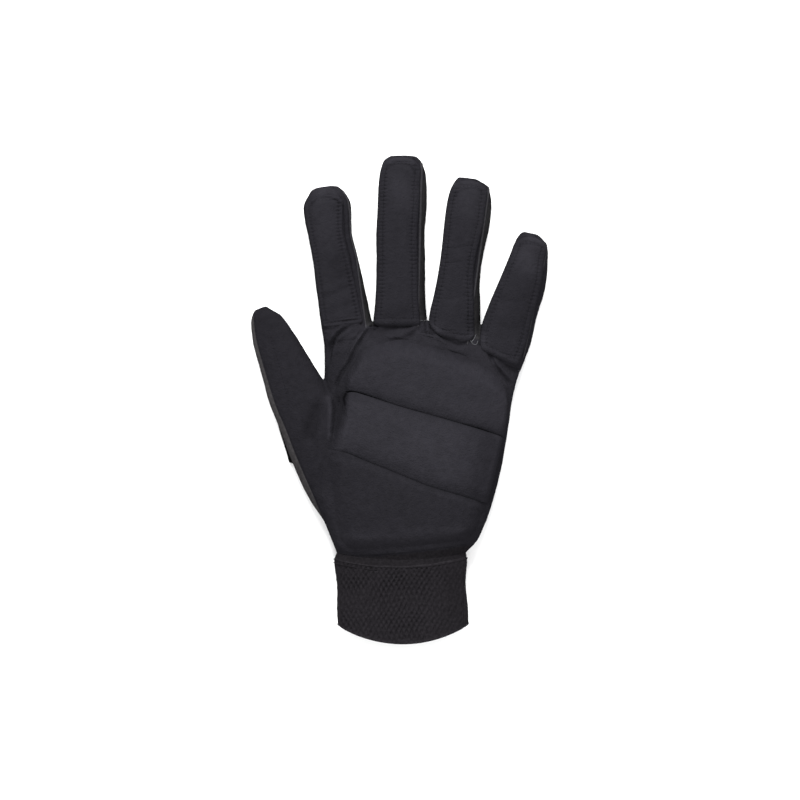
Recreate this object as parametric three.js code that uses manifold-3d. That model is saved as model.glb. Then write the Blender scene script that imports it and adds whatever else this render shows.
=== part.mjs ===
// A left-hand baseball sliding glove, empty and lying on its back with the palm up.
// Millimetres. +X runs towards the little finger, +Y towards the fingertips and +Z up, out of the palm.
// The origin is on the surface that the glove lies on, under the middle of its outline.
// The hand is one hollow skin: palm, fingers and thumb are lofted, joined and hollowed, and the skin
// is then cut along its real seams into palm, thumb, back and the strips between the fingers.
import * as THREE from "three";
import { mergeVertices } from "three/addons/utils/BufferGeometryUtils.js";
import Module from "manifold-3d";

const wasm = await Module();
wasm.setup();

// Driving dimensions.
const WALL = 1.5; // leather with its lining
const GAP = 0.3; // between two pieces that are sewn together
const SIDE_SEAM_Z = 4.8; // height of the seam between the palm side and the back
const STRIP_LOW_Z = 3; // the strips between the fingers lie between these heights
const STRIP_HIGH_Z = 9.4;
const PATCH_THICKNESS = 1.2;
const CUFF_WALL = 2;
const GUARD_THICKNESS = 2.2;

// Shape of every cross-section: a rounded upper half, and a lower half flattened by the surface.
const CROWN_POWER = 2.5;
const REST_POWER = 3;
const REST_FLATTENING = 1.16;
const WIDEST_SHARE = 0.45; // height of the widest place, as a share of the section's height
const LEAN = 0.16; // the fingers roll towards the thumb, so that their far sides show from above

// The palm, from the wrist seam to the roots of the fingers. Each row is one cross-section between a
// left and a right point of the outline, with its top height and how far its middle bows forward.
const PALM = [
  { leftX: -31, leftY: -76, rightX: 33.5, rightY: -76, top: 19.5, bow: -3 },
  { leftX: -32.5, leftY: -72, rightX: 38.4, rightY: -71, top: 21.5, bow: -2.5 },
  { leftX: -34.5, leftY: -64, rightX: 41.9, rightY: -64, top: 22.5, bow: -1 },
  { leftX: -37, leftY: -50, rightX: 46.8, rightY: -50, top: 22.5, bow: 0 },
  { leftX: -38, leftY: -30, rightX: 51.8, rightY: -30, top: 22, bow: 0 },
  { leftX: -38, leftY: -13, rightX: 54.4, rightY: -14, top: 21, bow: 0 },
  { leftX: -37.5, leftY: 2, rightX: 56, rightY: -3, top: 19.5, bow: 1 },
  { leftX: -37.2, leftY: 16, rightX: 57.7, rightY: 5, top: 18, bow: 3 },
  { leftX: -37.3, leftY: 27, rightX: 59.5, rightY: 12, top: 16.5, bow: 4.5 },
  { leftX: -38, leftY: 37, rightX: 62.3, rightY: 19.5, top: 15, bow: 5 },
];

// The thumb with the ball of the hand, from the wrist to its tip, in the same columns.
const THUMB = [
  { leftX: -33, leftY: -71, rightX: 0, rightY: -71, low: 0, top: 19 },
  { leftX: -37.7, leftY: -60, rightX: -2, rightY: -52, low: 0, top: 21.5 },
  { leftX: -44.5, leftY: -50, rightX: -6, rightY: -36, low: 0, top: 22 },
  { leftX: -49.5, leftY: -39.5, rightX: -12, rightY: -22, low: 2.4, top: 22 },
  { leftX: -54, leftY: -29, rightX: -20, rightY: -10, low: 2.7, top: 21.5 },
  { leftX: -58, leftY: -18, rightX: -29, rightY: -1, low: 2.7, top: 20 },
  { leftX: -62, leftY: -8, rightX: -35, rightY: 4, low: 2.7, top: 18.5 },
  { leftX: -65, leftY: -0.5, rightX: -37.6, rightY: 9.3, low: 2.7, top: 17.5 },
  { leftX: -68.2, leftY: 11, rightX: -43.9, rightY: 19.7, low: 2.6, top: 16 },
  { leftX: -71.2, leftY: 22.6, rightX: -50.4, rightY: 30, low: 2.5, top: 14.5 },
  { leftX: -72.8, leftY: 28.3, rightX: -53.8, rightY: 35.1, low: 2.5, top: 13.8 },
  { leftX: -74, leftY: 36, rightX: -58.5, rightY: 41.6, low: 2.8, top: 12 },
  { leftX: -73.8, leftY: 40.3, rightX: -62.6, rightY: 44.3, low: 3.3, top: 10.4 },
  { leftX: -72.3, leftY: 44.5, rightX: -66.4, rightY: 46.7, low: 4, top: 8.6 },
];

// The fingers. Each has a straight axis, and rows with the distance along it, the reach of the
// outline to either side, and the top height.
const FINGERS = {
  index: {
    base: [-25.5, 32],
    tip: [-36, 106.5],
    rows: [
      { along: -2, left: 12.8, right: 13.5, top: 15.5 },
      { along: 12, left: 13, right: 12.3, top: 14 },
      { along: 26, left: 13, right: 11.3, top: 13.2 },
      { along: 41, left: 13, right: 10, top: 12.6 },
      { along: 50, left: 13.4, right: 9.2, top: 12.2 },
      { along: 59, left: 13.8, right: 10, top: 11.6 },
      { along: 66.5, left: 13.3, right: 9.9, top: 10.6 },
      { along: 70.5, left: 11.6, right: 8.2, top: 9.4 },
      { along: 73.2, left: 9.2, right: 6.6, top: 8.2 },
      { along: 75, left: 6, right: 4, top: 7 },
    ],
  },
  middle: {
    base: [0.8, 34.8],
    tip: [1.8, 121.7],
    rows: [
      { along: -5, left: 14.5, right: 14.5, top: 16 },
      { along: 14, left: 12.8, right: 12.4, top: 14.2 },
      { along: 30, left: 12.5, right: 12.1, top: 13.2 },
      { along: 48, left: 12.7, right: 11.6, top: 12.6 },
      { along: 65, left: 12.2, right: 12.1, top: 12 },
      { along: 76, left: 11.7, right: 11.8, top: 10.8 },
      { along: 81, left: 10.6, right: 10.6, top: 9.6 },
      { along: 84.6, left: 9.2, right: 8.8, top: 8.2 },
      { along: 86.8, left: 5.8, right: 6.2, top: 7 },
    ],
  },
  ring: {
    base: [29, 27.2],
    tip: [35, 110.6],
    rows: [
      { along: -4, left: 15, right: 13, top: 16 },
      { along: 13, left: 15, right: 10.9, top: 14.2 },
      { along: 23, left: 13.5, right: 10.2, top: 13.2 },
      { along: 34, left: 12.1, right: 9.2, top: 12.8 },
      { along: 46, left: 11.2, right: 9.9, top: 12.5 },
      { along: 60, left: 10.7, right: 11.8, top: 12 },
      { along: 70, left: 10.1, right: 12.3, top: 11 },
      { along: 76.5, left: 8.8, right: 11.3, top: 9.8 },
      { along: 80.8, left: 7, right: 9.2, top: 8.4 },
      { along: 83.4, left: 5, right: 3.6, top: 7 },
    ],
  },
  little: {
    base: [55, 18.8],
    tip: [66.8, 82.9],
    rows: [
      { along: -3, left: 14, right: 6.4, top: 15 },
      { along: 11, left: 17, right: 9.2, top: 13.5 },
      { along: 23, left: 15.8, right: 9.7, top: 12.8 },
      { along: 36, left: 13, right: 11, top: 12.2 },
      { along: 46, left: 10.6, right: 10.7, top: 11.6 },
      { along: 55, left: 8.6, right: 9.5, top: 10.6 },
      { along: 60.4, left: 7.4, right: 8.2, top: 9.4 },
      { along: 63.4, left: 6, right: 5.6, top: 8.2 },
      { along: 65.1, left: 4.6, right: 2.6, top: 7 },
    ],
  },
};
const TIP_LOW = 2.6; // the sewn edge of a fingertip lifts off the surface
const TIP_LIFT_LENGTH = 10;
const ROOM_START = 0.4; // the room in a finger or the thumb begins this far above its skin

// Leather patches on the palm side of the fingers: where each begins along the finger on its left and
// right edge, how far it stays inside the outline, and the width of its round corners.
const PATCHES = {
  index: { startLeft: 3.6, startRight: 7, marginLeft: 1.2, marginRight: 4, marginTip: 3 },
  middle: { startLeft: 2.6, startRight: 2.6, marginLeft: 2, marginRight: 4.6, marginTip: 3 },
  ring: { startLeft: 6.5, startRight: 1, marginLeft: 2, marginRight: 4, marginTip: 3 },
  little: { startLeft: 10, startRight: 3, marginLeft: 1.8, marginRight: 2.4, marginTip: 3 },
};

// The quilted pads of the palm. Each row is a rib from the pad's wrist edge to its finger edge.
const PADS = {
  pad_upper: {
    thickness: 4.5,
    ribs: [
      { lowX: -27, lowY: 3.8, highX: -23.5, highY: 16.8 },
      { lowX: -17, lowY: 2.8, highX: -15.5, highY: 27.8 },
      { lowX: 0.5, lowY: -2, highX: 0.5, highY: 31 },
      { lowX: 20.5, lowY: -7.8, highX: 20.5, highY: 28.3 },
      { lowX: 38, lowY: -12.8, highX: 38, highY: 22 },
      { lowX: 48, lowY: -16.2, highX: 49.5, highY: 13.5 },
      { lowX: 52.2, lowY: -17.8, highX: 53.8, highY: 3 },
    ],
  },
  pad_middle: {
    thickness: 5,
    ribs: [
      { lowX: -32, lowY: -25.3, highX: -27.5, highY: 1.8 },
      { lowX: -20.5, lowY: -28.5, highX: -16.5, highY: 0.8 },
      { lowX: -5, lowY: -35, highX: 0.5, highY: -4.2 },
      { lowX: 14, lowY: -42.8, highX: 18.5, highY: -9.4 },
      { lowX: 29.5, lowY: -46.7, highX: 37, highY: -14.8 },
      { lowX: 39.5, lowY: -49.8, highX: 47.5, highY: -18.2 },
      { lowX: 43.6, lowY: -51.2, highX: 51.2, highY: -19.8 },
    ],
  },
  pad_heel: {
    thickness: 4,
    ribs: [
      { lowX: -28, lowY: -72, highX: -32, highY: -27.8 },
      { lowX: -20.5, lowY: -74.3, highX: -20.5, highY: -31 },
      { lowX: -5, lowY: -76, highX: -5, highY: -37.5 },
      { lowX: 10.5, lowY: -75.8, highX: 14, highY: -45.2 },
      { lowX: 23, lowY: -73.8, highX: 29.5, highY: -49 },
      { lowX: 30.5, lowY: -71.2, highX: 39.5, highY: -52.1 },
      { lowX: 34.5, lowY: -68.5, highX: 42.4, highY: -53.6 },
    ],
  },
};
const PAD_EDGE_SHARE = 0.3; // thickness of a pad at its sewn edge, as a share of its middle
const PAD_FLATNESS = 4; // the higher, the flatter a pad's middle and the steeper its edges

// The seam that sets the thumb into the palm, from the crotch of the thumb down to the wrist side.
const THUMB_SEAM = [
  [-38.8, 14],
  [-37.4, 10.5],
  [-35.5, -0.3],
  [-34, -12.8],
  [-33, -25.3],
  [-35.5, -35.3],
  [-38, -45.3],
  [-37, -55.3],
  [-35.5, -62.8],
];

// With that seam, this closes an outline that holds the whole thumb.
const THUMB_SURROUND = [
  [-45, -70],
  [-90, -70],
  [-90, 60],
  [-46, 60],
  [-41.5, 24],
];

// The smooth band below the palm and the knitted cuff, as cross-sections towards the hem.
const CUFF = [
  { leftX: -31, leftY: -76.3, rightX: 33.5, rightY: -76.3, top: 19.5, bow: -3 },
  { leftX: -32.2, leftY: -79, rightX: 34, rightY: -79, top: 20.5, bow: -3.5 },
  { leftX: -32.3, leftY: -81, rightX: 34, rightY: -81, top: 20.8, bow: -3.8 },
  { leftX: -31, leftY: -92, rightX: 33.2, rightY: -92, top: 20, bow: -5 },
  { leftX: -31, leftY: -104, rightX: 34.4, rightY: -104, top: 20.5, bow: -7 },
  { leftX: -31, leftY: -113.2, rightX: 34.6, rightY: -112.6, top: 21, bow: -8.7 },
];
const BAND_ROWS = 3; // the first rows of the cuff are the smooth band

// Faces round each cross-section.
const FINGER_SIDES = 14;
const PALM_SIDES = 24;
const CUFF_SIDES = 24;

// The guard behind the thumb, whose edge shows past the thumb's outline.
const GUARD_OUTLINE = [
  [-65.2, 3.8],
  [-62.6, -6.5],
  [-59.6, -17],
  [-56.4, -27],
  [-55.2, -31.6],
  [-52, -32.6],
  [-43, -29],
  [-42.2, -26],
  [-48.5, -2],
  [-52, 6],
  [-55, 7.4],
  [-63.5, 5.4],
];

// Solids.

function solidFrom(geometry) {
  geometry.deleteAttribute("normal");
  geometry.deleteAttribute("uv");
  const merged = mergeVertices(geometry, 1e-4);
  const vertProperties = merged.attributes.position.array;
  const triVerts = new Uint32Array(merged.index.array);
  const solid = new wasm.Manifold(new wasm.Mesh({ numProp: 3, vertProperties, triVerts }));
  if (solid.volume() >= 0) return solid;
  triVerts.reverse();
  return new wasm.Manifold(new wasm.Mesh({ numProp: 3, vertProperties, triVerts }));
}

function solidFromTriangles(points, triangles) {
  const geometry = new THREE.BufferGeometry();
  geometry.setAttribute("position", new THREE.Float32BufferAttribute(points.flat(), 3));
  geometry.setIndex(triangles.flat());
  return solidFrom(geometry);
}

function meshOf(name, solid, material) {
  const { vertProperties, triVerts } = solid.getMesh();
  const geometry = new THREE.BufferGeometry();
  geometry.setAttribute("position", new THREE.Float32BufferAttribute(vertProperties, 3));
  geometry.setIndex(new THREE.Uint32BufferAttribute(triVerts, 1));
  const mesh = new THREE.Mesh(geometry.toNonIndexed(), material);
  mesh.geometry.computeVertexNormals();
  mesh.name = name;
  return mesh;
}

// The sine or cosine of a superellipse of the given power.
const rounded = (value, power) => Math.sign(value) * Math.abs(value) ** (2 / power);

// How far a leaning superellipse reaches sideways, so that the outline keeps its width.
const leaningReach = (lean, power) => (1 + lean ** (power / (power - 1))) ** ((power - 1) / power);

function sectionPoint(row, angle) {
  const low = row.low ?? 0;
  const lean = row.lean ?? 0;
  const upper = Math.sin(angle) > 0;
  const power = upper ? CROWN_POWER : REST_POWER;
  const rise = rounded(Math.sin(angle), power);
  const lateral = rounded(Math.cos(angle), power) - lean * rise;
  const share = (1 + lateral / leaningReach(lean, lateral < 0 ? CROWN_POWER : REST_POWER)) / 2;
  const bow = 4 * (row.bow ?? 0) * share * (1 - share);
  const widest = low + WIDEST_SHARE * (row.top - low);
  const crown = widest + rise * (row.top - widest);
  const rest = Math.max(low, widest + REST_FLATTENING * rise * (widest - low));
  return [
    THREE.MathUtils.lerp(row.leftX, row.rightX, share),
    THREE.MathUtils.lerp(row.leftY, row.rightY, share) + bow,
    upper ? crown : rest,
  ];
}

const sectionMiddle = (row) => [
  (row.leftX + row.rightX) / 2,
  (row.leftY + row.rightY) / 2 + (row.bow ?? 0),
  ((row.low ?? 0) + row.top) / 2,
];

// A closed solid through cross-sections, with a fan over each end.
function loft(rows, sides) {
  const points = [];
  const triangles = [];
  const at = (row, side) => row * sides + (side % sides);
  for (const row of rows) {
    for (let side = 0; side < sides; side++) {
      points.push(sectionPoint(row, (2 * Math.PI * side) / sides));
    }
  }
  for (let row = 0; row + 1 < rows.length; row++) {
    for (let side = 0; side < sides; side++) {
      triangles.push([at(row, side), at(row, side + 1), at(row + 1, side)]);
      triangles.push([at(row, side + 1), at(row + 1, side + 1), at(row + 1, side)]);
    }
  }
  for (const row of [0, rows.length - 1]) {
    points.push(sectionMiddle(rows[row]));
    for (let side = 0; side < sides; side++) {
      const edge = row === 0 ? [at(row, side + 1), at(row, side)] : [at(row, side), at(row, side + 1)];
      triangles.push([...edge, points.length - 1]);
    }
  }
  return solidFromTriangles(points, triangles);
}

// The same cross-section, smaller by a wall all round.
function inset(row, wall) {
  const across = new THREE.Vector2(row.rightX - row.leftX, row.rightY - row.leftY).setLength(wall);
  return {
    ...row,
    leftX: row.leftX + across.x,
    leftY: row.leftY + across.y,
    rightX: row.rightX - across.x,
    rightY: row.rightY - across.y,
    low: (row.low ?? 0) + wall,
    top: row.top - wall,
  };
}

// The same cross-section moved along Y.
const shifted = (row, distance) => ({
  ...row,
  leftY: row.leftY + distance,
  rightY: row.rightY + distance,
});

// An upright prism over an outline, between two heights.
function prism(outline, low, high) {
  const shape = new THREE.Shape(outline.map(([x, y]) => new THREE.Vector2(x, y)));
  const geometry = new THREE.ExtrudeGeometry(shape, { depth: high - low, bevelEnabled: false });
  geometry.translate(0, 0, low);
  return solidFrom(geometry);
}

// Where a place in a finger's own frame lies: along its axis and to the right of it.
function fingerPoint(finger, along, aside) {
  const base = new THREE.Vector2(...finger.base);
  const axis = new THREE.Vector2(...finger.tip).sub(base).normalize();
  return base.addScaledVector(axis, along).addScaledVector(new THREE.Vector2(axis.y, -axis.x), aside);
}

// The finger's outline to either side at a distance along it, read between the rows of its table.
function fingerReach(finger, along) {
  const rows = finger.rows;
  const next = Math.max(1, rows.findIndex((row) => row.along >= along));
  const a = rows[next - 1];
  const b = rows[next];
  const share = (along - a.along) / (b.along - a.along);
  return {
    left: THREE.MathUtils.lerp(a.left, b.left, share),
    right: THREE.MathUtils.lerp(a.right, b.right, share),
  };
}

function fingerRows(finger) {
  const length = finger.rows.at(-1).along;
  return finger.rows.map((row) => {
    const left = fingerPoint(finger, row.along, -row.left);
    const right = fingerPoint(finger, row.along, row.right);
    const lift = Math.max(0, 1 - (length - row.along) / TIP_LIFT_LENGTH);
    return {
      leftX: left.x,
      leftY: left.y,
      rightX: right.x,
      rightY: right.y,
      low: TIP_LOW * lift ** 2,
      top: row.top,
      lean: LEAN * THREE.MathUtils.clamp(row.along / TIP_LIFT_LENGTH, 0, 1),
    };
  });
}

// The hollow skin of the hand.

const fingerTables = Object.values(FINGERS).map(fingerRows);
const limbs = [THUMB, ...fingerTables];
const outside = limbs.reduce((body, rows) => body.add(loft(rows, FINGER_SIDES)), loft(PALM, PALM_SIDES));

const TIP_SECTIONS = 2; // sections at a tip that are narrower than the room inside

// The room in a finger or the thumb opens into the palm, and ends short of the tip.
function limbRoom(rows) {
  const [root, ...room] = rows.slice(0, -TIP_SECTIONS).map((row) => inset(row, WALL));
  return loft([shifted(root, ROOM_START), ...room], FINGER_SIDES);
}

// The room in the palm is open towards the wrist.
function palmRoom() {
  const room = PALM.map((row) => inset(row, WALL));
  const wrist = shifted(room[0], -2 * WALL);
  const roots = shifted(room.pop(), -WALL);
  return loft([wrist, ...room, roots], PALM_SIDES);
}

const inside = limbs.reduce((room, rows) => room.add(limbRoom(rows)), palmRoom());
const skin = outside.subtract(inside);

// Cutters along the seams.

const FAR = 150;
const everywhere = [
  [-FAR, -FAR],
  [FAR, -FAR],
  [FAR, FAR],
  [-FAR, FAR],
];
const palmSide = prism(everywhere, SIDE_SEAM_Z + GAP / 2, FAR);
const backSide = prism(everywhere, -FAR, SIDE_SEAM_Z - GAP / 2);

function thumbZone(clearance) {
  const seam = THUMB_SEAM.map(([x, y]) => [x + clearance, y]);
  return prism([...seam, ...THUMB_SURROUND], 0, FAR);
}

const STRIP_START = 1.5; // how far along the fingers the strips begin
const STRIP_END_SHARE = 0.86; // the strips end at this share of the shorter finger
const neighbours = [
  ["index", "middle"],
  ["middle", "ring"],
  ["ring", "little"],
];

function stripZone([first, second], clearance) {
  const pair = [FINGERS[first], FINGERS[second]];
  const lengths = pair.map((finger) => finger.rows.at(-1).along);
  const start = STRIP_START - clearance;
  const end = Math.min(...lengths) * STRIP_END_SHARE + clearance;
  const [lower, upper] = [start, end].map((along) =>
    pair.map((finger) => fingerPoint(finger, along, 0).toArray()),
  );
  return prism([...lower, ...upper.reverse()], STRIP_LOW_Z - clearance, STRIP_HIGH_Z + clearance);
}

const stripZones = neighbours.map((pair) => stripZone(pair, GAP));
const without = (solid, cutters) => cutters.reduce((left, cutter) => left.subtract(cutter), solid);

const palmShell = without(skin.intersect(palmSide), [thumbZone(GAP / 2), ...stripZones]);
const thumbShell = skin.intersect(palmSide).intersect(thumbZone(-GAP / 2));
const backShell = without(skin.intersect(backSide), stripZones);
const strips = neighbours.map((pair) => skin.intersect(stripZone(pair, 0)));

// Pieces that lie on the skin: a grid of places is draped over it and given a thickness. The solid
// starts a little below the skin's surface, and the skin is then cut out of it.

const DRAPE_DEPTH = 0.8;
const outsideMesh = meshOf("outside", outside, new THREE.MeshBasicMaterial());
const downward = new THREE.Raycaster();

function heightAt(x, y) {
  downward.set(new THREE.Vector3(x, y, FAR), new THREE.Vector3(0, 0, -1));
  const [hit] = downward.intersectObject(outsideMesh);
  return hit ? hit.point.z : SIDE_SEAM_Z;
}

function draped(places, thicknessAt) {
  const columns = places.length;
  const rows = places[0].length;
  const points = [];
  const triangles = [];
  for (const layer of [0, 1]) {
    places.forEach((line, column) =>
      line.forEach(([x, y], row) => {
        const thickness = thicknessAt(column / (columns - 1), row / (rows - 1));
        points.push([x, y, heightAt(x, y) + (layer ? GAP + thickness : -DRAPE_DEPTH)]);
      }),
    );
  }
  const addQuad = (...corners) => {
    const [a, b, c, d] = corners.map(([layer, column, row]) => (layer * columns + column) * rows + row);
    triangles.push([a, b, c], [a, c, d]);
  };
  const right = columns - 1;
  const far = rows - 1;
  for (let column = 0; column < right; column++) {
    const next = column + 1;
    for (let row = 0; row < far; row++) {
      addQuad([0, column, row], [0, column, row + 1], [0, next, row + 1], [0, next, row]);
      addQuad([1, next, row], [1, next, row + 1], [1, column, row + 1], [1, column, row]);
    }
    addQuad([0, column, 0], [0, next, 0], [1, next, 0], [1, column, 0]);
    addQuad([1, column, far], [1, next, far], [0, next, far], [0, column, far]);
  }
  for (let row = 0; row < far; row++) {
    addQuad([1, 0, row], [1, 0, row + 1], [0, 0, row + 1], [0, 0, row]);
    addQuad([0, right, row], [0, right, row + 1], [1, right, row + 1], [1, right, row]);
  }
  return solidFromTriangles(points, triangles).subtract(outside.translate([0, 0, GAP]));
}

const PATCH_COLUMNS = 10;
const PATCH_ROWS = 4;

function patch(name) {
  const finger = FINGERS[name];
  const { startLeft, startRight, marginLeft, marginRight, marginTip } = PATCHES[name];
  const end = finger.rows.at(-1).along - marginTip;
  const places = [];
  for (let column = 0; column <= PATCH_COLUMNS; column++) {
    const line = [];
    for (let row = 0; row <= PATCH_ROWS; row++) {
      const aside = row / PATCH_ROWS;
      const start = THREE.MathUtils.lerp(startLeft, startRight, aside);
      const along = THREE.MathUtils.lerp(start, end, column / PATCH_COLUMNS);
      const reach = fingerReach(finger, along);
      const place = THREE.MathUtils.lerp(marginLeft - reach.left, reach.right - marginRight, aside);
      line.push(fingerPoint(finger, along, place).toArray());
    }
    places.push(line);
  }
  return draped(places, () => PATCH_THICKNESS);
}

const PAD_ROWS = 5;

// Full in the middle of the pad, and pinched along its four sewn edges.
function padFullness(across, along) {
  const edge = (share) => 1 - Math.abs(2 * share - 1) ** PAD_FLATNESS;
  return PAD_EDGE_SHARE + (1 - PAD_EDGE_SHARE) * Math.sqrt(edge(across) * edge(along));
}

function pad({ ribs, thickness }) {
  const lower = new THREE.SplineCurve(ribs.map((rib) => new THREE.Vector2(rib.lowX, rib.lowY)));
  const upper = new THREE.SplineCurve(ribs.map((rib) => new THREE.Vector2(rib.highX, rib.highY)));
  const columns = 2 * (ribs.length - 1);
  const places = [];
  for (let column = 0; column <= columns; column++) {
    const low = lower.getPoint(column / columns);
    const high = upper.getPoint(column / columns);
    const line = [];
    for (let row = 0; row <= PAD_ROWS; row++) {
      line.push(low.clone().lerp(high, row / PAD_ROWS).toArray());
    }
    places.push(line);
  }
  return draped(places, (across, along) => thickness * padFullness(across, along));
}

// The cuff and its band: tubes between two of the cuff's sections, open at both ends.
function tube(rows) {
  const room = rows.map((row) => inset(row, CUFF_WALL));
  const longRoom = [shifted(room[0], CUFF_WALL), ...room, shifted(room.at(-1), -CUFF_WALL)];
  return loft(rows, CUFF_SIDES).subtract(loft(longRoom, CUFF_SIDES));
}

const bandRows = CUFF.slice(0, BAND_ROWS);
const knitRows = [shifted(CUFF[BAND_ROWS - 1], -GAP), ...CUFF.slice(BAND_ROWS)];

// The assembly. Colours are those of black leather, stretch cloth and knit.

const material = (color, roughness) => new THREE.MeshStandardMaterial({ color, roughness, metalness: 0 });
const palmLeather = material(0x242428, 0.62);
const patchLeather = material(0x27272b, 0.58);
const padLeather = material(0x2b2b30, 0.6);
const stretchCloth = material(0x1e1e21, 0.85);
const knit = material(0x1c1c1e, 0.9);
const bindingCloth = material(0x19191b, 0.85);
const rubberedCloth = material(0x141416, 0.7);

const glove = new THREE.Group();
glove.add(meshOf("palm_shell", palmShell, palmLeather));
glove.add(meshOf("thumb_shell", thumbShell, palmLeather));
glove.add(meshOf("back_shell", backShell, stretchCloth));
neighbours.forEach((pair, i) => glove.add(meshOf(`fourchette_${pair.join("_")}`, strips[i], stretchCloth)));
Object.keys(PATCHES).forEach((name) => glove.add(meshOf(`patch_${name}`, patch(name), patchLeather)));
Object.entries(PADS).forEach(([name, table]) => glove.add(meshOf(name, pad(table), padLeather)));
glove.add(meshOf("cuff_band", tube(bandRows), bindingCloth));
glove.add(meshOf("cuff_knit", tube(knitRows), knit));
glove.add(meshOf("thumb_guard", prism(GUARD_OUTLINE, 0, GUARD_THICKNESS), rubberedCloth));

export default glove;
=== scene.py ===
import math

import bmesh
import bpy
import numpy as np
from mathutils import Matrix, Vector, noise
from mathutils.bvhtree import BVHTree


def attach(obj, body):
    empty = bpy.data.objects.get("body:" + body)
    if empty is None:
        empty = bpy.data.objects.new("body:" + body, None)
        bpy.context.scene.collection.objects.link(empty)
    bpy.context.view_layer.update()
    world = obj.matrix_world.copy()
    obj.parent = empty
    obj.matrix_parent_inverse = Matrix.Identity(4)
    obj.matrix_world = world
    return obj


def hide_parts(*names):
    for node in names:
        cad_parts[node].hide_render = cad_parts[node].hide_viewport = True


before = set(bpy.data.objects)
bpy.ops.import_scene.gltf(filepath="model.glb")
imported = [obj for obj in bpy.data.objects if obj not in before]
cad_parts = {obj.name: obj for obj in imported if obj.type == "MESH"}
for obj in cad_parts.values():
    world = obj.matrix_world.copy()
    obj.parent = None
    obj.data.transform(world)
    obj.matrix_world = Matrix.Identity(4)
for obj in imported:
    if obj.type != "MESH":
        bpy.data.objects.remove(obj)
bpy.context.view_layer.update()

MM = 0.001
SKIN_VOXEL = 0.6
PALM_SHARE = 0.6  # share of its polygons that the palm keeps, and the back below
BACK_SHARE = 0.3
RIM_ANGLE = 55  # degrees between two faces from which their edge is crisp
WRIST_SPARE = 2.5  # how far the skin is made past the wrist before it is cut off there
LEATHER = 1.2
SIDE_SEAM_Z = 4.8
ABOVE = 60  # higher than the glove: rays are cast down from here

# Cross-sections of the hand between a left and a right point of the outline. The columns are left x,
# left y, right x, right y, low, top, and the bow: how far the middle of a section runs forward.
PALM = [
    (-31, -76, 33.5, -76, 0, 19.5, -3),
    (-32.5, -72, 38.4, -71, 0, 21.5, -2.5),
    (-34.5, -64, 41.9, -64, 0, 22.5, -1),
    (-37, -50, 46.8, -50, 0, 22.5, 0),
    (-38, -30, 51.8, -30, 0, 22, 0),
    (-38, -13, 54.4, -14, 0, 21, 0),
    (-37.5, 2, 56, -3, 0, 19.5, 1),
    (-37.2, 16, 57.7, 5, 0, 18, 3),
    (-37.3, 27, 59.5, 12, 0, 16.5, 4.5),
    (-38, 37, 62.3, 19.5, 0, 15, 5),
]
THUMB = [
    (-33, -71, 0, -71, 0, 19, 0),
    (-37.7, -60, -2, -52, 0, 21.5, 0),
    (-44.5, -50, -6, -36, 0, 22, 0),
    (-49.5, -39.5, -12, -22, 2.4, 22, 0),
    (-54, -29, -20, -10, 2.7, 21.5, 0),
    (-58, -18, -29, -1, 2.7, 20, 0),
    (-62, -8, -35, 4, 2.7, 18.5, 0),
    (-65, -0.5, -37.6, 9.3, 2.7, 17.5, 0),
    (-68.2, 11, -43.9, 19.7, 2.6, 16, 0),
    (-71.2, 22.6, -50.4, 30, 2.5, 14.5, 0),
    (-72.8, 28.3, -53.8, 35.1, 2.5, 13.8, 0),
    (-74, 36, -58.5, 41.6, 2.8, 12, 0),
    (-73.8, 40.3, -62.6, 44.3, 3.3, 10.4, 0),
    (-72.3, 44.5, -66.4, 46.7, 4, 8.6, 0),
]
CUFF = [
    (-30.8, -75.2, 33.3, -75.2, 0, 19.3, -3),
    (-32.2, -79, 34, -79, 0, 20.5, -3.5),
    (-32.3, -81, 34, -81, 0, 20.8, -3.8),
    (-31, -92, 33.2, -92, 0, 20, -5),
    (-31, -104, 34.4, -104, 0, 20.5, -7),
    (-30.4, -112.3, 34.6, -111.9, 0, 21, -8.4),
]

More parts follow.
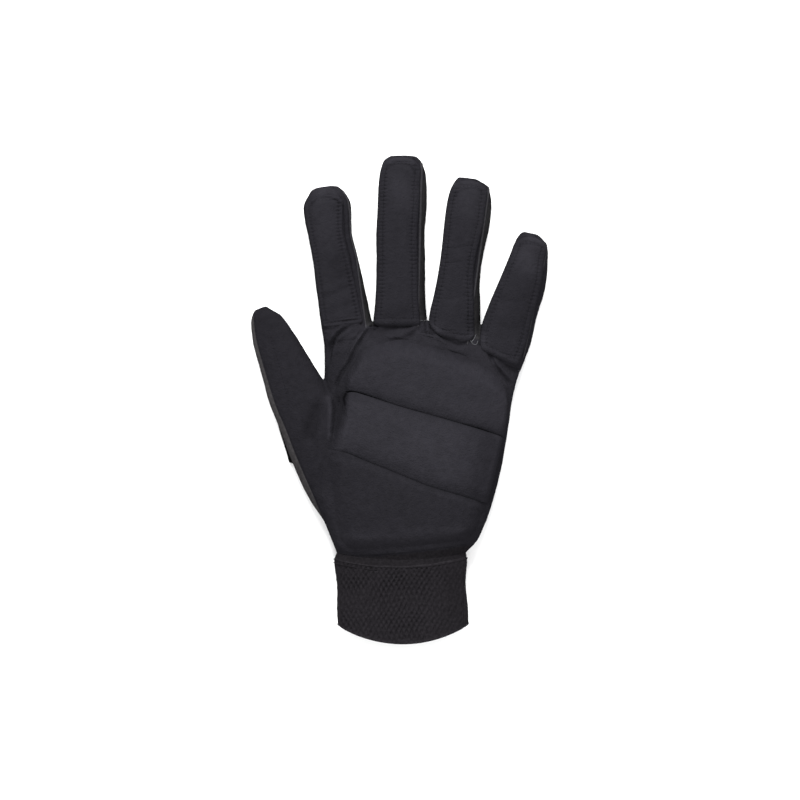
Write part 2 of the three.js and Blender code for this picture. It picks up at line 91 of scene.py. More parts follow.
# The fingers: a straight axis from base to tip, and rows of the distance along it, the outline's
# reach to its left and right, and the top height. "seam" is how far right of the axis the raised seam
# runs at root and tip, and "strip" where the side strips start along the axis, at left and right.
# "patch" places the leather overlay: where its left and right edge start, its distance inside the
# outline at left, right and tip, its corner radius at the root, and how strongly its sides pucker.
FINGERS = {
    "index": {
        "base": (-25.5, 32),
        "tip": (-36, 106.5),
        "seam": (9.6, 9.3),
        "strip": (7, 3),
        "patch": {
            "start": (5.2, 4.6), "inside": (0.6, 4.2),
            "tip": 4.6, "corner": 2.2, "puckers": (0.35, 0.8),
        },
        "rows": [
            (-2, 12.4, 13.5, 15.5), (12, 12.6, 12.3, 14), (26, 12.5, 11.4, 13.2),
            (41, 12.3, 10, 12.6), (50, 12.8, 9.2, 12.2), (59, 13.3, 10.1, 11.6),
            (64.5, 13.3, 10.4, 11), (67.5, 12.9, 10, 10.4), (71.5, 10.4, 8.4, 9.2),
            (74.4, 8.2, 6, 7.8), (75.4, 5.4, 4.2, 7),
        ],
    },
    "middle": {
        "base": (0.8, 34.8),
        "tip": (1.8, 121.7),
        "seam": (8.6, 9.4),
        "strip": (7, 4.6),
        "patch": {
            "start": (2.6, 2.8), "inside": (1.3, 4.7),
            "tip": 2.2, "corner": 0.8, "puckers": (1, 1),
        },
        "rows": [
            (-5, 14.5, 14.5, 16), (14, 12.8, 12.4, 14.2), (30, 12.5, 12.1, 13.2),
            (48, 12.7, 11.6, 12.6), (65, 12.3, 12.5, 12), (76, 11.8, 12.2, 10.8),
            (81, 10.8, 11, 9.6), (84.8, 9.4, 9.2, 8.2), (87.1, 6.2, 6.8, 7),
        ],
    },
    "ring": {
        "base": (29, 27.2),
        "tip": (35, 110.6),
        "seam": (4.8, 10.4),
        "strip": (12, 3.4),
        "patch": {
            "start": (6, 1), "inside": (1, 4.6),
            "tip": 2.4, "corner": 6, "puckers": (1, 0.9),
        },
        "rows": [
            (-4, 15, 13, 16), (13, 15, 10.9, 14.2), (23, 13.5, 10.2, 13.2),
            (34, 12.1, 9.2, 12.8), (46, 11.2, 9.9, 12.5), (60, 10.8, 12.1, 12),
            (70, 10.2, 12.6, 11), (76.5, 9, 11.7, 9.8), (80.8, 7.4, 9.8, 8.4),
            (83.7, 5.4, 4.2, 7),
        ],
    },
    "little": {
        "base": (55, 18.8),
        "tip": (66.8, 82.9),
        "seam": (6.2, 8.4),
        "strip": (9, 7),
        "patch": {
            "start": (3.8, -1), "inside": (1, 3.6),
            "tip": 3.4, "corner": 2, "puckers": (0.7, 0.7),
        },
        "rows": [
            (-3, 14, 6.4, 15), (11, 17, 9.2, 13.5), (23, 15.8, 9.7, 12.8),
            (36, 13, 11, 12.2), (46, 10.7, 11, 11.6), (55, 8.8, 9.9, 10.6),
            (60.4, 7.7, 8.7, 9.4), (63.4, 6.5, 6.2, 8.2), (65.4, 5, 3.2, 7),
        ],
    },
}
TIP_LOW = 2.6
TIP_LIFT_LENGTH = 10.0
LEAN = 0.16
CROWN_POWER = 2.5
REST_POWER = 3.0
REST_FLATTENING = 1.16
WIDEST_SHARE = 0.45


# Arrays and tables.


def smooth_rows(table, per_row):
    """The rows of a table on a smooth curve through them."""
    values = np.array(table, float)
    ends = 2 * values[0] - values[1], 2 * values[-1] - values[-2]
    padded = np.vstack([ends[0], values, ends[1]])
    t = np.linspace(0, len(values) - 1, (len(values) - 1) * per_row + 1)
    i = np.minimum(t.astype(int), len(values) - 2)
    f = (t - i)[:, None]
    a, b, c, d = (padded[i + k] for k in range(4))
    square = (2 * a - 5 * b + 4 * c - d) * f**2
    cube = (3 * b - a - 3 * c + d) * f**3
    return 0.5 * (2 * b + (c - a) * f + square + cube)


def smoothstep(low, high, value):
    t = np.clip((value - low) / (high - low), 0, 1)
    return t * t * (3 - 2 * t)


def between(first, last, share):
    return first + (last - first) * share


def distances_along(line):
    """How far along a line of points each of them is."""
    steps = np.linalg.norm(np.diff(line, axis=0), axis=1)
    return np.concatenate([[0], np.cumsum(steps)])


def bell(distance, width):
    return np.exp(-((distance / width) ** 2))


def quarter_round(share):
    """Rises from 0 to 1 as a quarter of a circle does, while the share does."""
    return np.sqrt(1 - (1 - np.clip(share, 0, 1)) ** 2)


def rounded(value, power):
    return np.sign(value) * np.abs(value) ** (2 / power)


def share_across(row, x):
    """How far across a level cross-section places are, from its left point to its right."""
    left_x, _, right_x, *_ = row
    return (x - left_x) / (right_x - left_x)


def front_of(row, share):
    """Where the bowed line of a level cross-section runs, at shares of the way across."""
    _, y, *_, bow = row
    return y + 4 * bow * share * (1 - share)


def section(row, lean, angles):
    """Points of one cross-section: a rounded crown over a lower half flattened by the surface."""
    left_x, left_y, right_x, right_y, low, top, bow = row
    upper = np.sin(angles) > 0
    power = np.where(upper, CROWN_POWER, REST_POWER)
    rise = rounded(np.sin(angles), power)
    lateral = rounded(np.cos(angles), power) - lean * rise
    side_power = np.where(lateral < 0, CROWN_POWER, REST_POWER)
    reach = (1 + lean ** (side_power / (side_power - 1))) ** ((side_power - 1) / side_power)
    share = (1 + lateral / reach) / 2
    widest = low + WIDEST_SHARE * (top - low)
    x = between(left_x, right_x, share)
    y = between(left_y, right_y, share) + 4 * bow * share * (1 - share)
    crown = widest + rise * (top - widest)
    rest = np.maximum(low, widest + REST_FLATTENING * rise * (widest - low))
    return np.stack([x, y, np.where(upper, crown, rest)], axis=1)


def tube_faces(rings, sides):
    faces = []
    for r in range(rings - 1):
        for s in range(sides):
            n = (s + 1) % sides
            faces.append((r * sides + s, (r + 1) * sides + s, (r + 1) * sides + n, r * sides + n))
    return faces


def loft(rows, leans, sides):
    """Vertices and faces of a closed solid through cross-sections."""
    angles = np.linspace(0, 2 * np.pi, sides, endpoint=False)
    rings = [section(row, lean, angles) for row, lean in zip(rows, leans)]
    faces = [face[:1] + face[:0:-1] for face in tube_faces(len(rings), sides)]
    faces.append(tuple(reversed(range(sides))))
    faces.append(tuple((len(rings) - 1) * sides + s for s in range(sides)))
    return np.vstack(rings), faces


SEAM_INSIDE = 0.9  # least distance between a finger's raised seam and its outline


class Finger:
    """A finger's own frame: distance along its axis, and to the right of it."""

    def __init__(self, table):
        self.base = np.array(table["base"])
        direction = np.array(table["tip"]) - self.base
        self.axis = direction / np.linalg.norm(direction)
        self.aside = np.array([self.axis[1], -self.axis[0]])
        self.rows = smooth_rows(table["rows"], 6)
        self.length = self.rows[-1, 0]
        self.table = table

    def place(self, along, aside):
        return self.base + np.multiply.outer(along, self.axis) + np.multiply.outer(aside, self.aside)

    def local(self, points):
        from_base = points[:, :2] - self.base
        return from_base @ self.axis, from_base @ self.aside

    def reach(self, along):
        """How far the outline runs to the left and to the right."""
        return (np.interp(along, self.rows[:, 0], self.rows[:, k]) for k in (1, 2))

    def seam(self, along):
        """How far right of the axis the raised seam runs."""
        line = between(*self.table["seam"], np.clip(along / self.length, 0, 1))
        _, right = self.reach(along)
        return np.minimum(line, right - SEAM_INSIDE)

    def sections(self):
        rows = []
        leans = []
        for along, left, right, top in self.rows:
            a, b = self.place(along, -left), self.place(along, right)
            lift = max(0.0, 1 - (self.length - along) / TIP_LIFT_LENGTH)
            rows.append((*a, *b, TIP_LOW * lift**2, top, 0.0))
            leans.append(LEAN * min(1.0, max(0.0, along / TIP_LIFT_LENGTH)))
        return rows, leans


fingers = {name: Finger(table) for name, table in FINGERS.items()}


# Meshes.


def show(name, data):
    """A new object in the scene."""
    obj = bpy.data.objects.new(name, data)
    bpy.context.scene.collection.objects.link(obj)
    return obj


def make_object(name, vertices, faces):
    """A smooth mesh object from vertices in millimetres."""
    mesh = bpy.data.meshes.new(name)
    mesh.from_pydata((np.asarray(vertices) * MM).tolist(), [], faces)
    mesh.update()
    mesh.shade_smooth()
    return show(name, mesh)


def object_from(name, bm):
    mesh = bpy.data.meshes.new(name)
    bm.to_mesh(mesh)
    bm.free()
    return show(name, mesh)


def join(name, parts):
    """One object from parts, each its points and faces."""
    vertices = []
    faces = []
    for points, part_faces in parts:
        faces += [tuple(i + len(vertices) for i in face) for face in part_faces]
        vertices += np.asarray(points).tolist()
    return make_object(name, vertices, faces)


def apply_modifiers(obj):
    depsgraph = bpy.context.evaluated_depsgraph_get()
    mesh = bpy.data.meshes.new_from_object(obj.evaluated_get(depsgraph))
    old = obj.data
    obj.modifiers.clear()
    obj.data = mesh
    bpy.data.meshes.remove(old)


def smooth(obj, passes, group=""):
    relax = obj.modifiers.new("smooth", "SMOOTH")
    relax.factor = 0.5
    relax.iterations = passes
    relax.vertex_group = group
    apply_modifiers(obj)


def surface_of(*objects):
    """Something to cast rays at, in millimetres."""
    vertices = []
    faces = []
    for obj in objects:
        faces += [tuple(i + len(vertices) for i in p.vertices) for p in obj.data.polygons]
        vertices += [v.co / MM for v in obj.data.vertices]
    return BVHTree.FromPolygons(vertices, faces)


def values_of(items, name):
    """A vector of every vertex or polygon."""
    values = np.zeros(len(items) * 3)
    items.foreach_get(name, values)
    return values.reshape(-1, 3)


def coordinates(mesh):
    return values_of(mesh.vertices, "co") / MM


def centres_of(mesh):
    return values_of(mesh.polygons, "center") / MM


def set_coordinates(mesh, values):
    """Moves vertices to places in millimetres, but none below the ground."""
    values[:, 2] = np.maximum(values[:, 2], 0)
    mesh.vertices.foreach_set("co", (values * MM).ravel())
    mesh.update()
    mesh.shade_smooth()


def vertex_normals(mesh):
    return values_of(mesh.vertex_normals, "vector")


NOISE_STEP = Vector((7.3, 3.1, 5.7))  # how far apart the places are from which seeds take their noise


def soft_noise(points, *layers):
    """Smooth noise for every point, from layers of a height, a size and a seed."""
    total = 0
    for height, size, seed in layers:
        offset = seed * NOISE_STEP
        total = total + height * np.array([noise.noise(Vector(p) / size + offset) for p in points])
    return total


# Folds, creases and seams are lines in the plane of the outline. The columns are name, depth, width
# and the line's points. A ridge has a negative depth.

FOLDS = [
    ("main_ridge", -1.2, 0.8, [(-13.5, 38.8), (-16.5, 34.8), (-20.3, 29.5), (-23.5, 24), (-26.5, 18)]),
    ("main_hollow", 0.7, 0.7, [(-13.4, 37), (-16.6, 32.8), (-19.9, 27.8), (-23, 22.4), (-26.2, 16.5)]),
    ("main_crease", 1.3, 0.8, [(-21.5, 23), (-26, 16.5), (-29.5, 11), (-33, 3)]),
    ("index_crease", 1.2, 0.8,
     [(-21.5, 37.5), (-25.5, 35.4), (-29, 33.2), (-32, 29.5), (-34.2, 24), (-35, 16.5)]),
    ("index_ridge", -0.7, 0.9, [(-25.5, 37.4), (-30, 34.6), (-33.6, 30.5), (-35.8, 24.5)]),
    ("index_hem", 0.4, 0.6, [(-39.5, 34.6), (-33, 34.9), (-26.5, 36.2)]),
    ("soft_fold", -0.5, 0.8, [(-17.5, 36), (-20.5, 33), (-23, 29.5)]),
    ("middle_hem", 1.2, 1.3, [(-15, 34.6), (-7, 35.5), (0.5, 36.2), (9, 37.4)]),
    ("middle_ridge", -0.8, 1.2, [(10.5, 38), (5.5, 33.7), (-0.5, 31.2), (-9, 30.8)]),
    ("wrinkle", 0.7, 0.6, [(-3.5, 30), (1, 29.2), (5.5, 28.6)]),
    ("ring_hem", 1.3, 1.1, [(17.5, 35), (24, 29.2), (29, 27), (35, 27.8)]),
    ("ring_crease_1", 0.8, 0.9, [(17.5, 30), (23, 26.8), (29, 25.2)]),
    ("ring_crease_2", 0.8, 0.8, [(21, 25.2), (28, 22.4), (35, 20.2)]),
    ("ring_crease_3", 0.6, 0.9, [(23.5, 22.8), (29, 20.2), (35, 18.2)]),
    ("little_crease", 1.2, 0.9, [(43.5, 26.3), (46.5, 18.8), (50.5, 12.8), (54.5, 8.3), (57, 3.3)]),
    ("little_hem", 1, 1.2, [(44, 23.6), (50.5, 18), (56.5, 14.8), (60.5, 15.8)]),
    ("little_fold", -0.6, 1, [(46, 23), (49.5, 16.5), (53.5, 11.5), (57, 8)]),
    ("thumb_ridge", -0.9, 1.3, [(-35.2, 5), (-34.4, -2), (-34.2, -12), (-34.8, -25)]),
    ("thumb_valley", 0.8, 1.3, [(-31.6, 5), (-30.4, -4), (-31, -13), (-32.2, -24.6)]),
    ("thumb_hollow", 1.6, 2.8, [(-37.6, 1), (-40.5, -6.5), (-43.5, -15.2), (-45.5, -24)]),
    ("lower_start", 0.7, 0.6, [(-34, -24.2), (-31.5, -25.4), (-27, -27.2), (-21, -29.2)]),
    ("thumb_seam", 0.4, 0.8, [(-34.5, -24), (-38.5, -35.2), (-39, -46.2), (-38, -56)]),
]
HEM_LINE = [(-34, -76.6), (-20, -76.9), (0.5, -75.6), (16, -73.6), (33, -71.6)]
HEM_STEP = 0.4
HEM_SLOPE = -0.4, 0.8  # how far below the hem line its step begins and ends
SEAM_GROOVE = 0.35
SIDE_SEAM_WIDTH = 0.45
THUMB_SEAM_WIDTH = 0.6
# The leather's own unevenness, as layers of a height, a size and a seed.
SKIN_NOISE = [(0.25, 14, 1), (0.15, 5, 2), (0.07, 2, 3)]
FOLD_REACH = 32  # how far from the middle of a fold it is worked out
FOLD_FADE = 0.25  # share of a fold at each end over which it fades
FOLD_SHOULDERS = 0.3  # how high its sides swell, as a share of its depth
SHOULDERS_AWAY = 2.1  # how far beside its middle they are, as a share of its width
GROOVE_INSIDE, GROOVE_DEPTH, GROOVE_WIDTH = 1.9, 0.9, 0.9  # the groove beside each raised seam
# The seam between the thumb's leather and the cloth at its side, which is lighter as a painted sheen, and
# the one between thumb and palm.
THUMB_EDGE = [
    *((-72.5, 40), (-70.3, 27), (-62, -0.5), (-56.3, -14)),
    *((-51.2, -27), (-46.5, -38), (-41.5, -49.5), (-36.5, -62.5)),
]
THUMB_SEAM = [
    *((-38.8, 17), (-37.4, 10.5), (-35.3, -0.3), (-34, -12.8), (-33, -25.3)),
    *((-35.5, -35.3), (-38, -45.3), (-37.6, -55.3), (-36.5, -66)),
]


def line_distance(points, corners):
    """Distance to a smooth line through a few points, and the share of the way along it."""
    line = smooth_rows(corners, 8)
    reached = distances_along(line)
    reached /= reached[-1]
    nearest = np.full(len(points), np.inf)
    share = np.zeros(len(points))
    for a, b, s, e in zip(line[:-1], line[1:], reached[:-1], reached[1:]):
        ab = b - a
        t = np.clip((points - a) @ ab / (ab @ ab), 0, 1)
        distance = np.linalg.norm(points - a - t[:, None] * ab, axis=1)
        closer = distance < nearest
        nearest = np.where(closer, distance, nearest)
        share = np.where(closer, s + (e - s) * t, share)
    return nearest, share


def fold_relief(points, corners, depth, width):
    distance, share = line_distance(points, corners)
    ends = smoothstep(0, FOLD_FADE, share) * smoothstep(0, FOLD_FADE, 1 - share)
    shoulders = FOLD_SHOULDERS * bell(distance - SHOULDERS_AWAY * width, width)
    return depth * ends * (shoulders - bell(distance, width))


# Where the colour of the leather and cloth is made lighter or darker. Part of it is painted light: painted
# shade in creases, hollows, valleys and seams and under the patches and pads (middle_shadow, pad_left,
# pad_corner, ring_creases, thumb_hollow, thumb_valley, upper_seam, lower_slope), and painted highlights on
# ridges and crests that face the light (main_ridge, thumb_ridge, upper_crest, heel_crest). The rest makes
# other spots and lines lighter or darker. The columns are name, how far it reaches, by what share, and the
# line that it follows.
TONE_AND_PAINTED_LIGHT = [
    ("index_tip", 4.5, 0.5, [(-40, 104), (-32.5, 105.6)]),
    ("index_upper", 7, 0.15, [(-37, 92), (-36, 84)]),
    ("index_joint", 5, -0.2, [(-30, 67), (-29, 64)]),
    ("middle_crown", 2.6, 0.35, [(-4.5, 119.8), (6, 120.2)]),
    ("middle_upper", 6, 0.3, [(0, 106), (2, 101)]),
    ("middle_root", 5, -0.15, [(-4, 40.5), (5, 41.5)]),
    ("ring_crown", 3, 0.25, [(29, 107.5), (38, 107)]),
    ("ring_upper", 5.5, 0.25, [(33.8, 101), (33.8, 96)]),
    ("ring_root", 6, -0.15, [(27, 36), (34, 36)]),
    ("little_crown", 3.2, 0.45, [(66, 80), (71.5, 79)]),
    ("little_upper", 6, 0.4, [(62.5, 71), (64, 68)]),
    ("little_root", 6, -0.1, [(64, 55), (58, 36)]),
    ("finger_roots", 6.5, 0.26, [(-19, 31), (0, 33), (20, 29.5), (40, 22), (54, 11)]),
    ("left_root", 6, 0.25, [(-36, 31), (-27, 30)]),
    ("first_crotch", 2.5, 0.5, [(13, 36), (18, 34)]),
    ("second_crotch", 2.5, 0.6, [(37, 31), (41, 30)]),
    ("thumb_hollow", 4, -0.2, [(-41, -4), (-44.5, -17)]),
    ("thumb_ridge", 1.5, 0.42, [(-34.6, 0.5), (-34.1, -9), (-34.2, -19)]),
    ("thumb_tip", 6, -0.15, [(-69, 40), (-66, 36)]),
    ("thumb_strip", 3, -0.08, [(-53, -30), (-46, -43), (-40, -55)]),
    ("palm_corner", 5, 0.22, [(-35, -47), (-30.5, -65)]),
    ("main_ridge", 0.8, 0.35, [(-14, 38.2), (-17, 34), (-20.7, 29), (-26.8, 17.5)]),
    ("middle_shadow", 1.5, -0.35, [(-13.5, 34.8), (-8, 34.2), (-2, 35.4)]),
    ("pad_left", 2.2, -0.2, [(-26.4, 1.5), (-27, -5), (-28.8, -12)]),
    ("index_arc", 0.6, -0.3,
     [(-43.6, 96.8), (-40.9, 100.1), (-37.6, 101.1), (-33.7, 100.4), (-29.7, 98.4), (-27.6, 96.1)]),
    ("middle_arc", 0.6, -0.3, [(-4.9, 116.1), (-1.5, 117.5), (2.5, 117.5), (5.9, 116.1), (7.9, 112.8)]),
    ("ring_arc", 0.6, -0.25, [(28.1, 102), (30.6, 104), (34.5, 105.2), (38.4, 105.2), (40.9, 103.3)]),
    ("little_arc", 0.6, -0.25, [(59.6, 76.9), (62.2, 77.3), (67.3, 77.6), (71.2, 76.3)]),
    ("pad_corner", 0.7, -0.45, [(-26.6, -2.2), (-27.2, 0.6), (-26.2, 2.8)]),
    ("ring_creases", 3, -0.15, [(20.5, 24.7), (33, 20.7)]),
    ("upper_crest", 3, 0.12, [(-14, 26.5), (0, 25.6), (15, 22.5), (30, 17.8), (44, 11)]),
    ("upper_seam", 3.5, -0.16, [(-26.5, 3.7), (-16.5, 2.7), (3.5, -3.8), (23.5, -9.3), (43.5, -15.3)]),
    ("lower_slope", 2.8, -0.12, [(-20, -26.2), (-6.5, -31.2), (13.5, -39.2), (33.5, -45.3), (43.5, -48.5)]),
    ("heel_crest", 1.4, 0.16, [(-33, -28.3), (-16.5, -32.2), (13.5, -44.2), (33.5, -50.4), (43, -53)]),
    ("thumb_valley", 2.5, -0.2, [(-30.5, -1), (-31.2, -14)]),
    ("pad_middle_end", 8, -0.25, [(45, -22), (40, -42)]),
    ("pad_middle_centre", 9, 0.1, [(8, -20), (22, -22)]),
    ("heel_low", 4, 0.3, [(-26, -69), (0, -69), (28, -66)]),
    ("cuff_end", 8, -0.15, [(27, -88), (27, -107)]),
]
TONE_AND_PAINTED_LIGHT_HEIGHTS = 1.0, 4.5  # from none to all of the painted light and other tone changes


def tone_and_light_at(points):
    """How much of its colour the leather or cloth keeps at each point, with the painted shade and
    highlights and the other lighter and darker spots of the table: 1 where there are none.
    """
    tone_and_light = np.zeros(len(points))
    for _, reach, share, line in TONE_AND_PAINTED_LIGHT:
        away, _ = line_distance(points[:, :2], line)
        tone_and_light += share * bell(away, reach)
    return 1 + tone_and_light * smoothstep(*TONE_AND_PAINTED_LIGHT_HEIGHTS, points[:, 2])


def set_tone_and_light(obj, values):
    layer = obj.data.attributes.new("tone_and_light", "FLOAT", "POINT")
    layer.data.foreach_set("value", np.asarray(values, np.float32))


def below_hem_line(flat):
    """How far places are below the line where the palm's leather is turned in."""
    line = smooth_rows(HEM_LINE, 8)
    return np.interp(flat[:, 0], line[:, 0], line[:, 1]) - flat[:, 1]


def skin_relief(points, normals):
    """How far the leather stands out from the plain form of the hand, in millimetres."""
    flat = points[:, :2]
    upward = smoothstep(0.0, 0.5, normals[:, 2])
    relief = soft_noise(points, *SKIN_NOISE)
    relief -= SEAM_GROOVE * bell(points[:, 2] - SIDE_SEAM_Z, SIDE_SEAM_WIDTH)
    edge, _ = line_distance(flat, THUMB_EDGE)
    relief -= SEAM_GROOVE * upward * bell(edge, THUMB_SEAM_WIDTH)
    relief -= HEM_STEP * upward * smoothstep(*HEM_SLOPE, below_hem_line(flat))
    for _, depth, width, line in FOLDS:
        near = np.all(np.abs(flat - np.mean(line, axis=0)) < FOLD_REACH, axis=1) & (upward > 0)
        relief[near] += upward[near] * fold_relief(flat[near], line, depth, width)
    for finger in fingers.values():
        along, aside = finger.local(points)
        _, right = finger.reach(along)
        near = (along > 4) & (along < finger.length - 1) & (aside > 0) & (aside < right + 1)
        groove = bell(aside - finger.seam(along) + GROOVE_INSIDE, GROOVE_WIDTH)
        relief[near] -= (upward * GROOVE_DEPTH * groove)[near]
    return relief


# Where two fingers come out of the palm: x, y and radius.
SOFT_ROOTS = [(-30.5, 31, 9), (50, 14.5, 7)]
SOFT_INNER, SOFT_OUTER = 0.5, 1.4  # shares of the radius with all and with none of the smoothing
SOFT_LOWEST = 8
SOFT_PASSES = 60


def soften_roots(obj):
    """Evens out the plain form where two fingers come out of the palm, so that only its folds show."""
    points = coordinates(obj.data)
    group = obj.vertex_groups.new(name="roots")
    for x, y, radius in SOFT_ROOTS:
        away = np.hypot(points[:, 0] - x, points[:, 1] - y) / radius
        chosen = np.flatnonzero((away < SOFT_OUTER) & (points[:, 2] > SOFT_LOWEST))
        for i in chosen.tolist():
            group.add([i], float(1 - smoothstep(SOFT_INNER, SOFT_OUTER, away[i])), "ADD")
    smooth(obj, SOFT_PASSES, "roots")


PALM_SIDES = 72
LIMB_SIDES = 40
SKIN_PASSES = 6


def make_skin():
    """The outer surface of the whole hand with its folds, as one mesh, and its plain form without them."""
    beyond = np.array(PALM[0]) - [0, WRIST_SPARE, 0, WRIST_SPARE, 0, 0, 0]
    palm_rows = np.vstack([beyond, smooth_rows(PALM, 5)])
    thumb_rows = smooth_rows(THUMB, 4)
    limbs = [(palm_rows, [0.0] * len(palm_rows), PALM_SIDES)]
    limbs.append((thumb_rows, [0.0] * len(thumb_rows), LIMB_SIDES))
    limbs += [(*finger.sections(), LIMB_SIDES) for finger in fingers.values()]
    obj = join("skin", [loft(*limb) for limb in limbs])
    remesh = obj.modifiers.new("remesh", "REMESH")
    remesh.mode = "VOXEL"
    remesh.voxel_size = SKIN_VOXEL * MM
    smooth(obj, SKIN_PASSES)
    soften_roots(obj)
    form = surface_of(obj)
    points = coordinates(obj.data)
    normals = vertex_normals(obj.data)
    points += normals * skin_relief(points, normals)[:, None]
    set_coordinates(obj.data, points)
    return obj, form


DOWN = Vector((0, 0, -1))
skin, form_surface = make_skin()


def drop(places):
    """Where places in the plane of the outline meet the hand's plain form, with its normals."""
    points = np.zeros((len(places), 3))
    normals = np.zeros((len(places), 3))
    for i, (x, y) in enumerate(places):
        hit, normal, _, _ = form_surface.ray_cast(Vector((x, y, ABOVE)), DOWN)
        if hit is None:
            hit, normal, _, _ = form_surface.find_nearest(Vector((x, y, SIDE_SEAM_Z)))
        points[i] = hit
        normals[i] = normal
    return points, normals


# Cutting the skin along its seams.


def cut_along(mesh, field):
    """Adds vertices and edges where a field over the vertices passes zero."""
    bm = bmesh.new()
    bm.from_mesh(mesh)
    layer = bm.verts.layers.float.new("field")
    for vertex, value in zip(bm.verts, field):
        vertex[layer] = value
    crossed = {}
    for edge in bm.edges:
        a, b = (v[layer] for v in edge.verts)
        if a * b < 0:
            crossed[edge] = abs(a) / (abs(a) + abs(b))
    made = bmesh.ops.bisect_edges(bm, edges=list(crossed), cuts=1, edge_percents=crossed)
    new = [item for item in made["geom_split"] if isinstance(item, bmesh.types.BMVert)]
    bmesh.ops.connect_verts(bm, verts=new)
    bm.verts.layers.float.remove(layer)
    bm.to_mesh(mesh)
    bm.free()


THUMB_SIDE = {"low_y": -60, "high_y": 42, "right_x": -33}  # where the thumb's side cloth, lighter as a painted sheen, can lie
CROTCH_SLANT = 0.35  # how far left the thumb's border runs beside the index finger, for each mm forward
STRIP_LOW_Z = 3.0
STRIP_HIGH_Z = 8.2
STRIP_INSIDE = 2.6  # how far inside its finger's left outline a strip reaches
STRIP_SPARE = 2.5  # how far past the outline of its finger it is looked for
STRIP_END_SHARE = 0.86
NOT_A_STRIP = -5.0


def side_field(points):
    """Above zero on the palm side of the glove, and below it on the back."""
    x, y, z = points.T
    height = z - SIDE_SEAM_Z
    line, _ = line_distance(points[:, :2], THUMB_EDGE)
    corners = smooth_rows(THUMB_EDGE, 8)
    edge_x = np.interp(y, corners[::-1, 1], corners[::-1, 0])
    inside = np.where(x > edge_x, line, -line)
    on_thumb = (y < THUMB_SIDE["high_y"]) & (y > THUMB_SIDE["low_y"]) & (x < THUMB_SIDE["right_x"])
    return np.where(on_thumb, np.minimum(height, inside), height)


def thumb_field(points):
    """Above zero on the thumb's side of the seam that sets it into the palm."""
    x, y, _ = points.T
    crotch_x, crotch_y = THUMB_SEAM[0]
    _, wrist_y = THUMB_SEAM[-1]
    seam = smooth_rows(THUMB_SEAM, 8)
    seam_x = np.interp(y, seam[::-1, 1], seam[::-1, 0])
    level = np.minimum(seam_x - x, y - wrist_y)
    beside_index = x < crotch_x - CROTCH_SLANT * (y - crotch_y)
    return np.where(y > crotch_y, np.where(beside_index, 1.0, -1.0), level)


def strip_field(points):
    """Above zero on the strips between the fingers: the facing sides of neighbouring fingers."""
    height = points[:, 2] - STRIP_LOW_Z
    low = np.minimum(height, STRIP_HIGH_Z - points[:, 2])
    best = np.full(len(points), NOT_A_STRIP)
    for name, finger in fingers.items():
        along, aside = finger.local(points)
        left, right = finger.reach(along)
        left_start, right_start = finger.table["strip"]
        end = STRIP_END_SHARE * finger.length - along
        near = (aside > -left - STRIP_SPARE) & (aside < right + STRIP_SPARE)
        strips = []
        if name != "little":
            strips.append([height, aside - finger.seam(along), along - right_start, end])
        if name != "index":
            strips.append([low, -aside - left + STRIP_INSIDE, along - left_start, end])
        for strip in strips:
            best = np.where(near, np.maximum(best, np.minimum.reduce(strip)), best)
    return best


def give_wall(obj, thickness):
    """Turns a sheet into a wall on its inner side, with crisp rims and nothing below the ground."""
    wall = obj.modifiers.new("wall", "SOLIDIFY")
    wall.thickness = thickness * MM
    wall.offset = -1
    apply_modifiers(obj)
    set_coordinates(obj.data, coordinates(obj.data))
    obj.data.set_sharp_from_angle(angle=math.radians(RIM_ANGLE))


def take(name, source, keep, share=1.0):
    """A new object with those polygons of the source, thinned out to a share of them, as leather."""
    bm = bmesh.new()
    bm.from_mesh(source)
    bm.faces.ensure_lookup_table()
    bmesh.ops.delete(bm, geom=[f for f in bm.faces if not keep[f.index]], context="FACES")
    obj = object_from(name, bm)
    if share < 1:
        thin = obj.modifiers.new("thin", "DECIMATE")
        thin.ratio = share
    give_wall(obj, LEATHER)
    return obj


def split_skin():
    """The skin as separate pieces: palm, thumb, back and the strips between the fingers."""
    mesh = skin.data
    for field in (side_field, thumb_field, strip_field):
        cut_along(mesh, field(coordinates(mesh)))
    centres = centres_of(mesh)
    wrist_share = share_across(PALM[0], centres[:, 0])
    in_hand = centres[:, 1] >= front_of(PALM[0], wrist_share)
    strip = (strip_field(centres) > 0) & in_hand
    side = side_field(centres) > 0
    palm_side = side & ~strip & in_hand
    thumb = palm_side & (thumb_field(centres) > 0)
    back = ~side & ~strip & in_hand
    # The back cloth at the thumb's side, which gets a lighter colour as a painted sheen.
    thumb_side = back & (centres[:, 2] > SIDE_SEAM_Z)
    pieces = {
        "palm_leather": take("palm_leather", mesh, palm_side & ~thumb, PALM_SHARE),
        "thumb_leather": take("thumb_leather", mesh, thumb),
        "thumb_painted_sheen_cloth": take("thumb_painted_sheen_cloth", mesh, thumb_side),
        "back_cloth": take("back_cloth", mesh, back & ~thumb_side, BACK_SHARE),
    }
    names = list(fingers)
    for left_name, right_name in zip(names, names[1:]):
        _, right_of_left = fingers[left_name].local(centres)
        _, right_of_right = fingers[right_name].local(centres)
        between = strip & (right_of_left > 0) & (right_of_right < 0)
        name = f"fourchette_{left_name}_{right_name}"
        pieces[name] = take(name + "_cloth", mesh, between)
    return pieces


pieces = split_skin()
bpy.data.objects.remove(skin)


# Overlays: grids laid over the skin.


def grid_faces(columns, rows):
    return [
        (c * rows + r, (c + 1) * rows + r, (c + 1) * rows + r + 1, c * rows + r + 1)
        for c in range(columns - 1)
        for r in range(rows - 1)
    ]


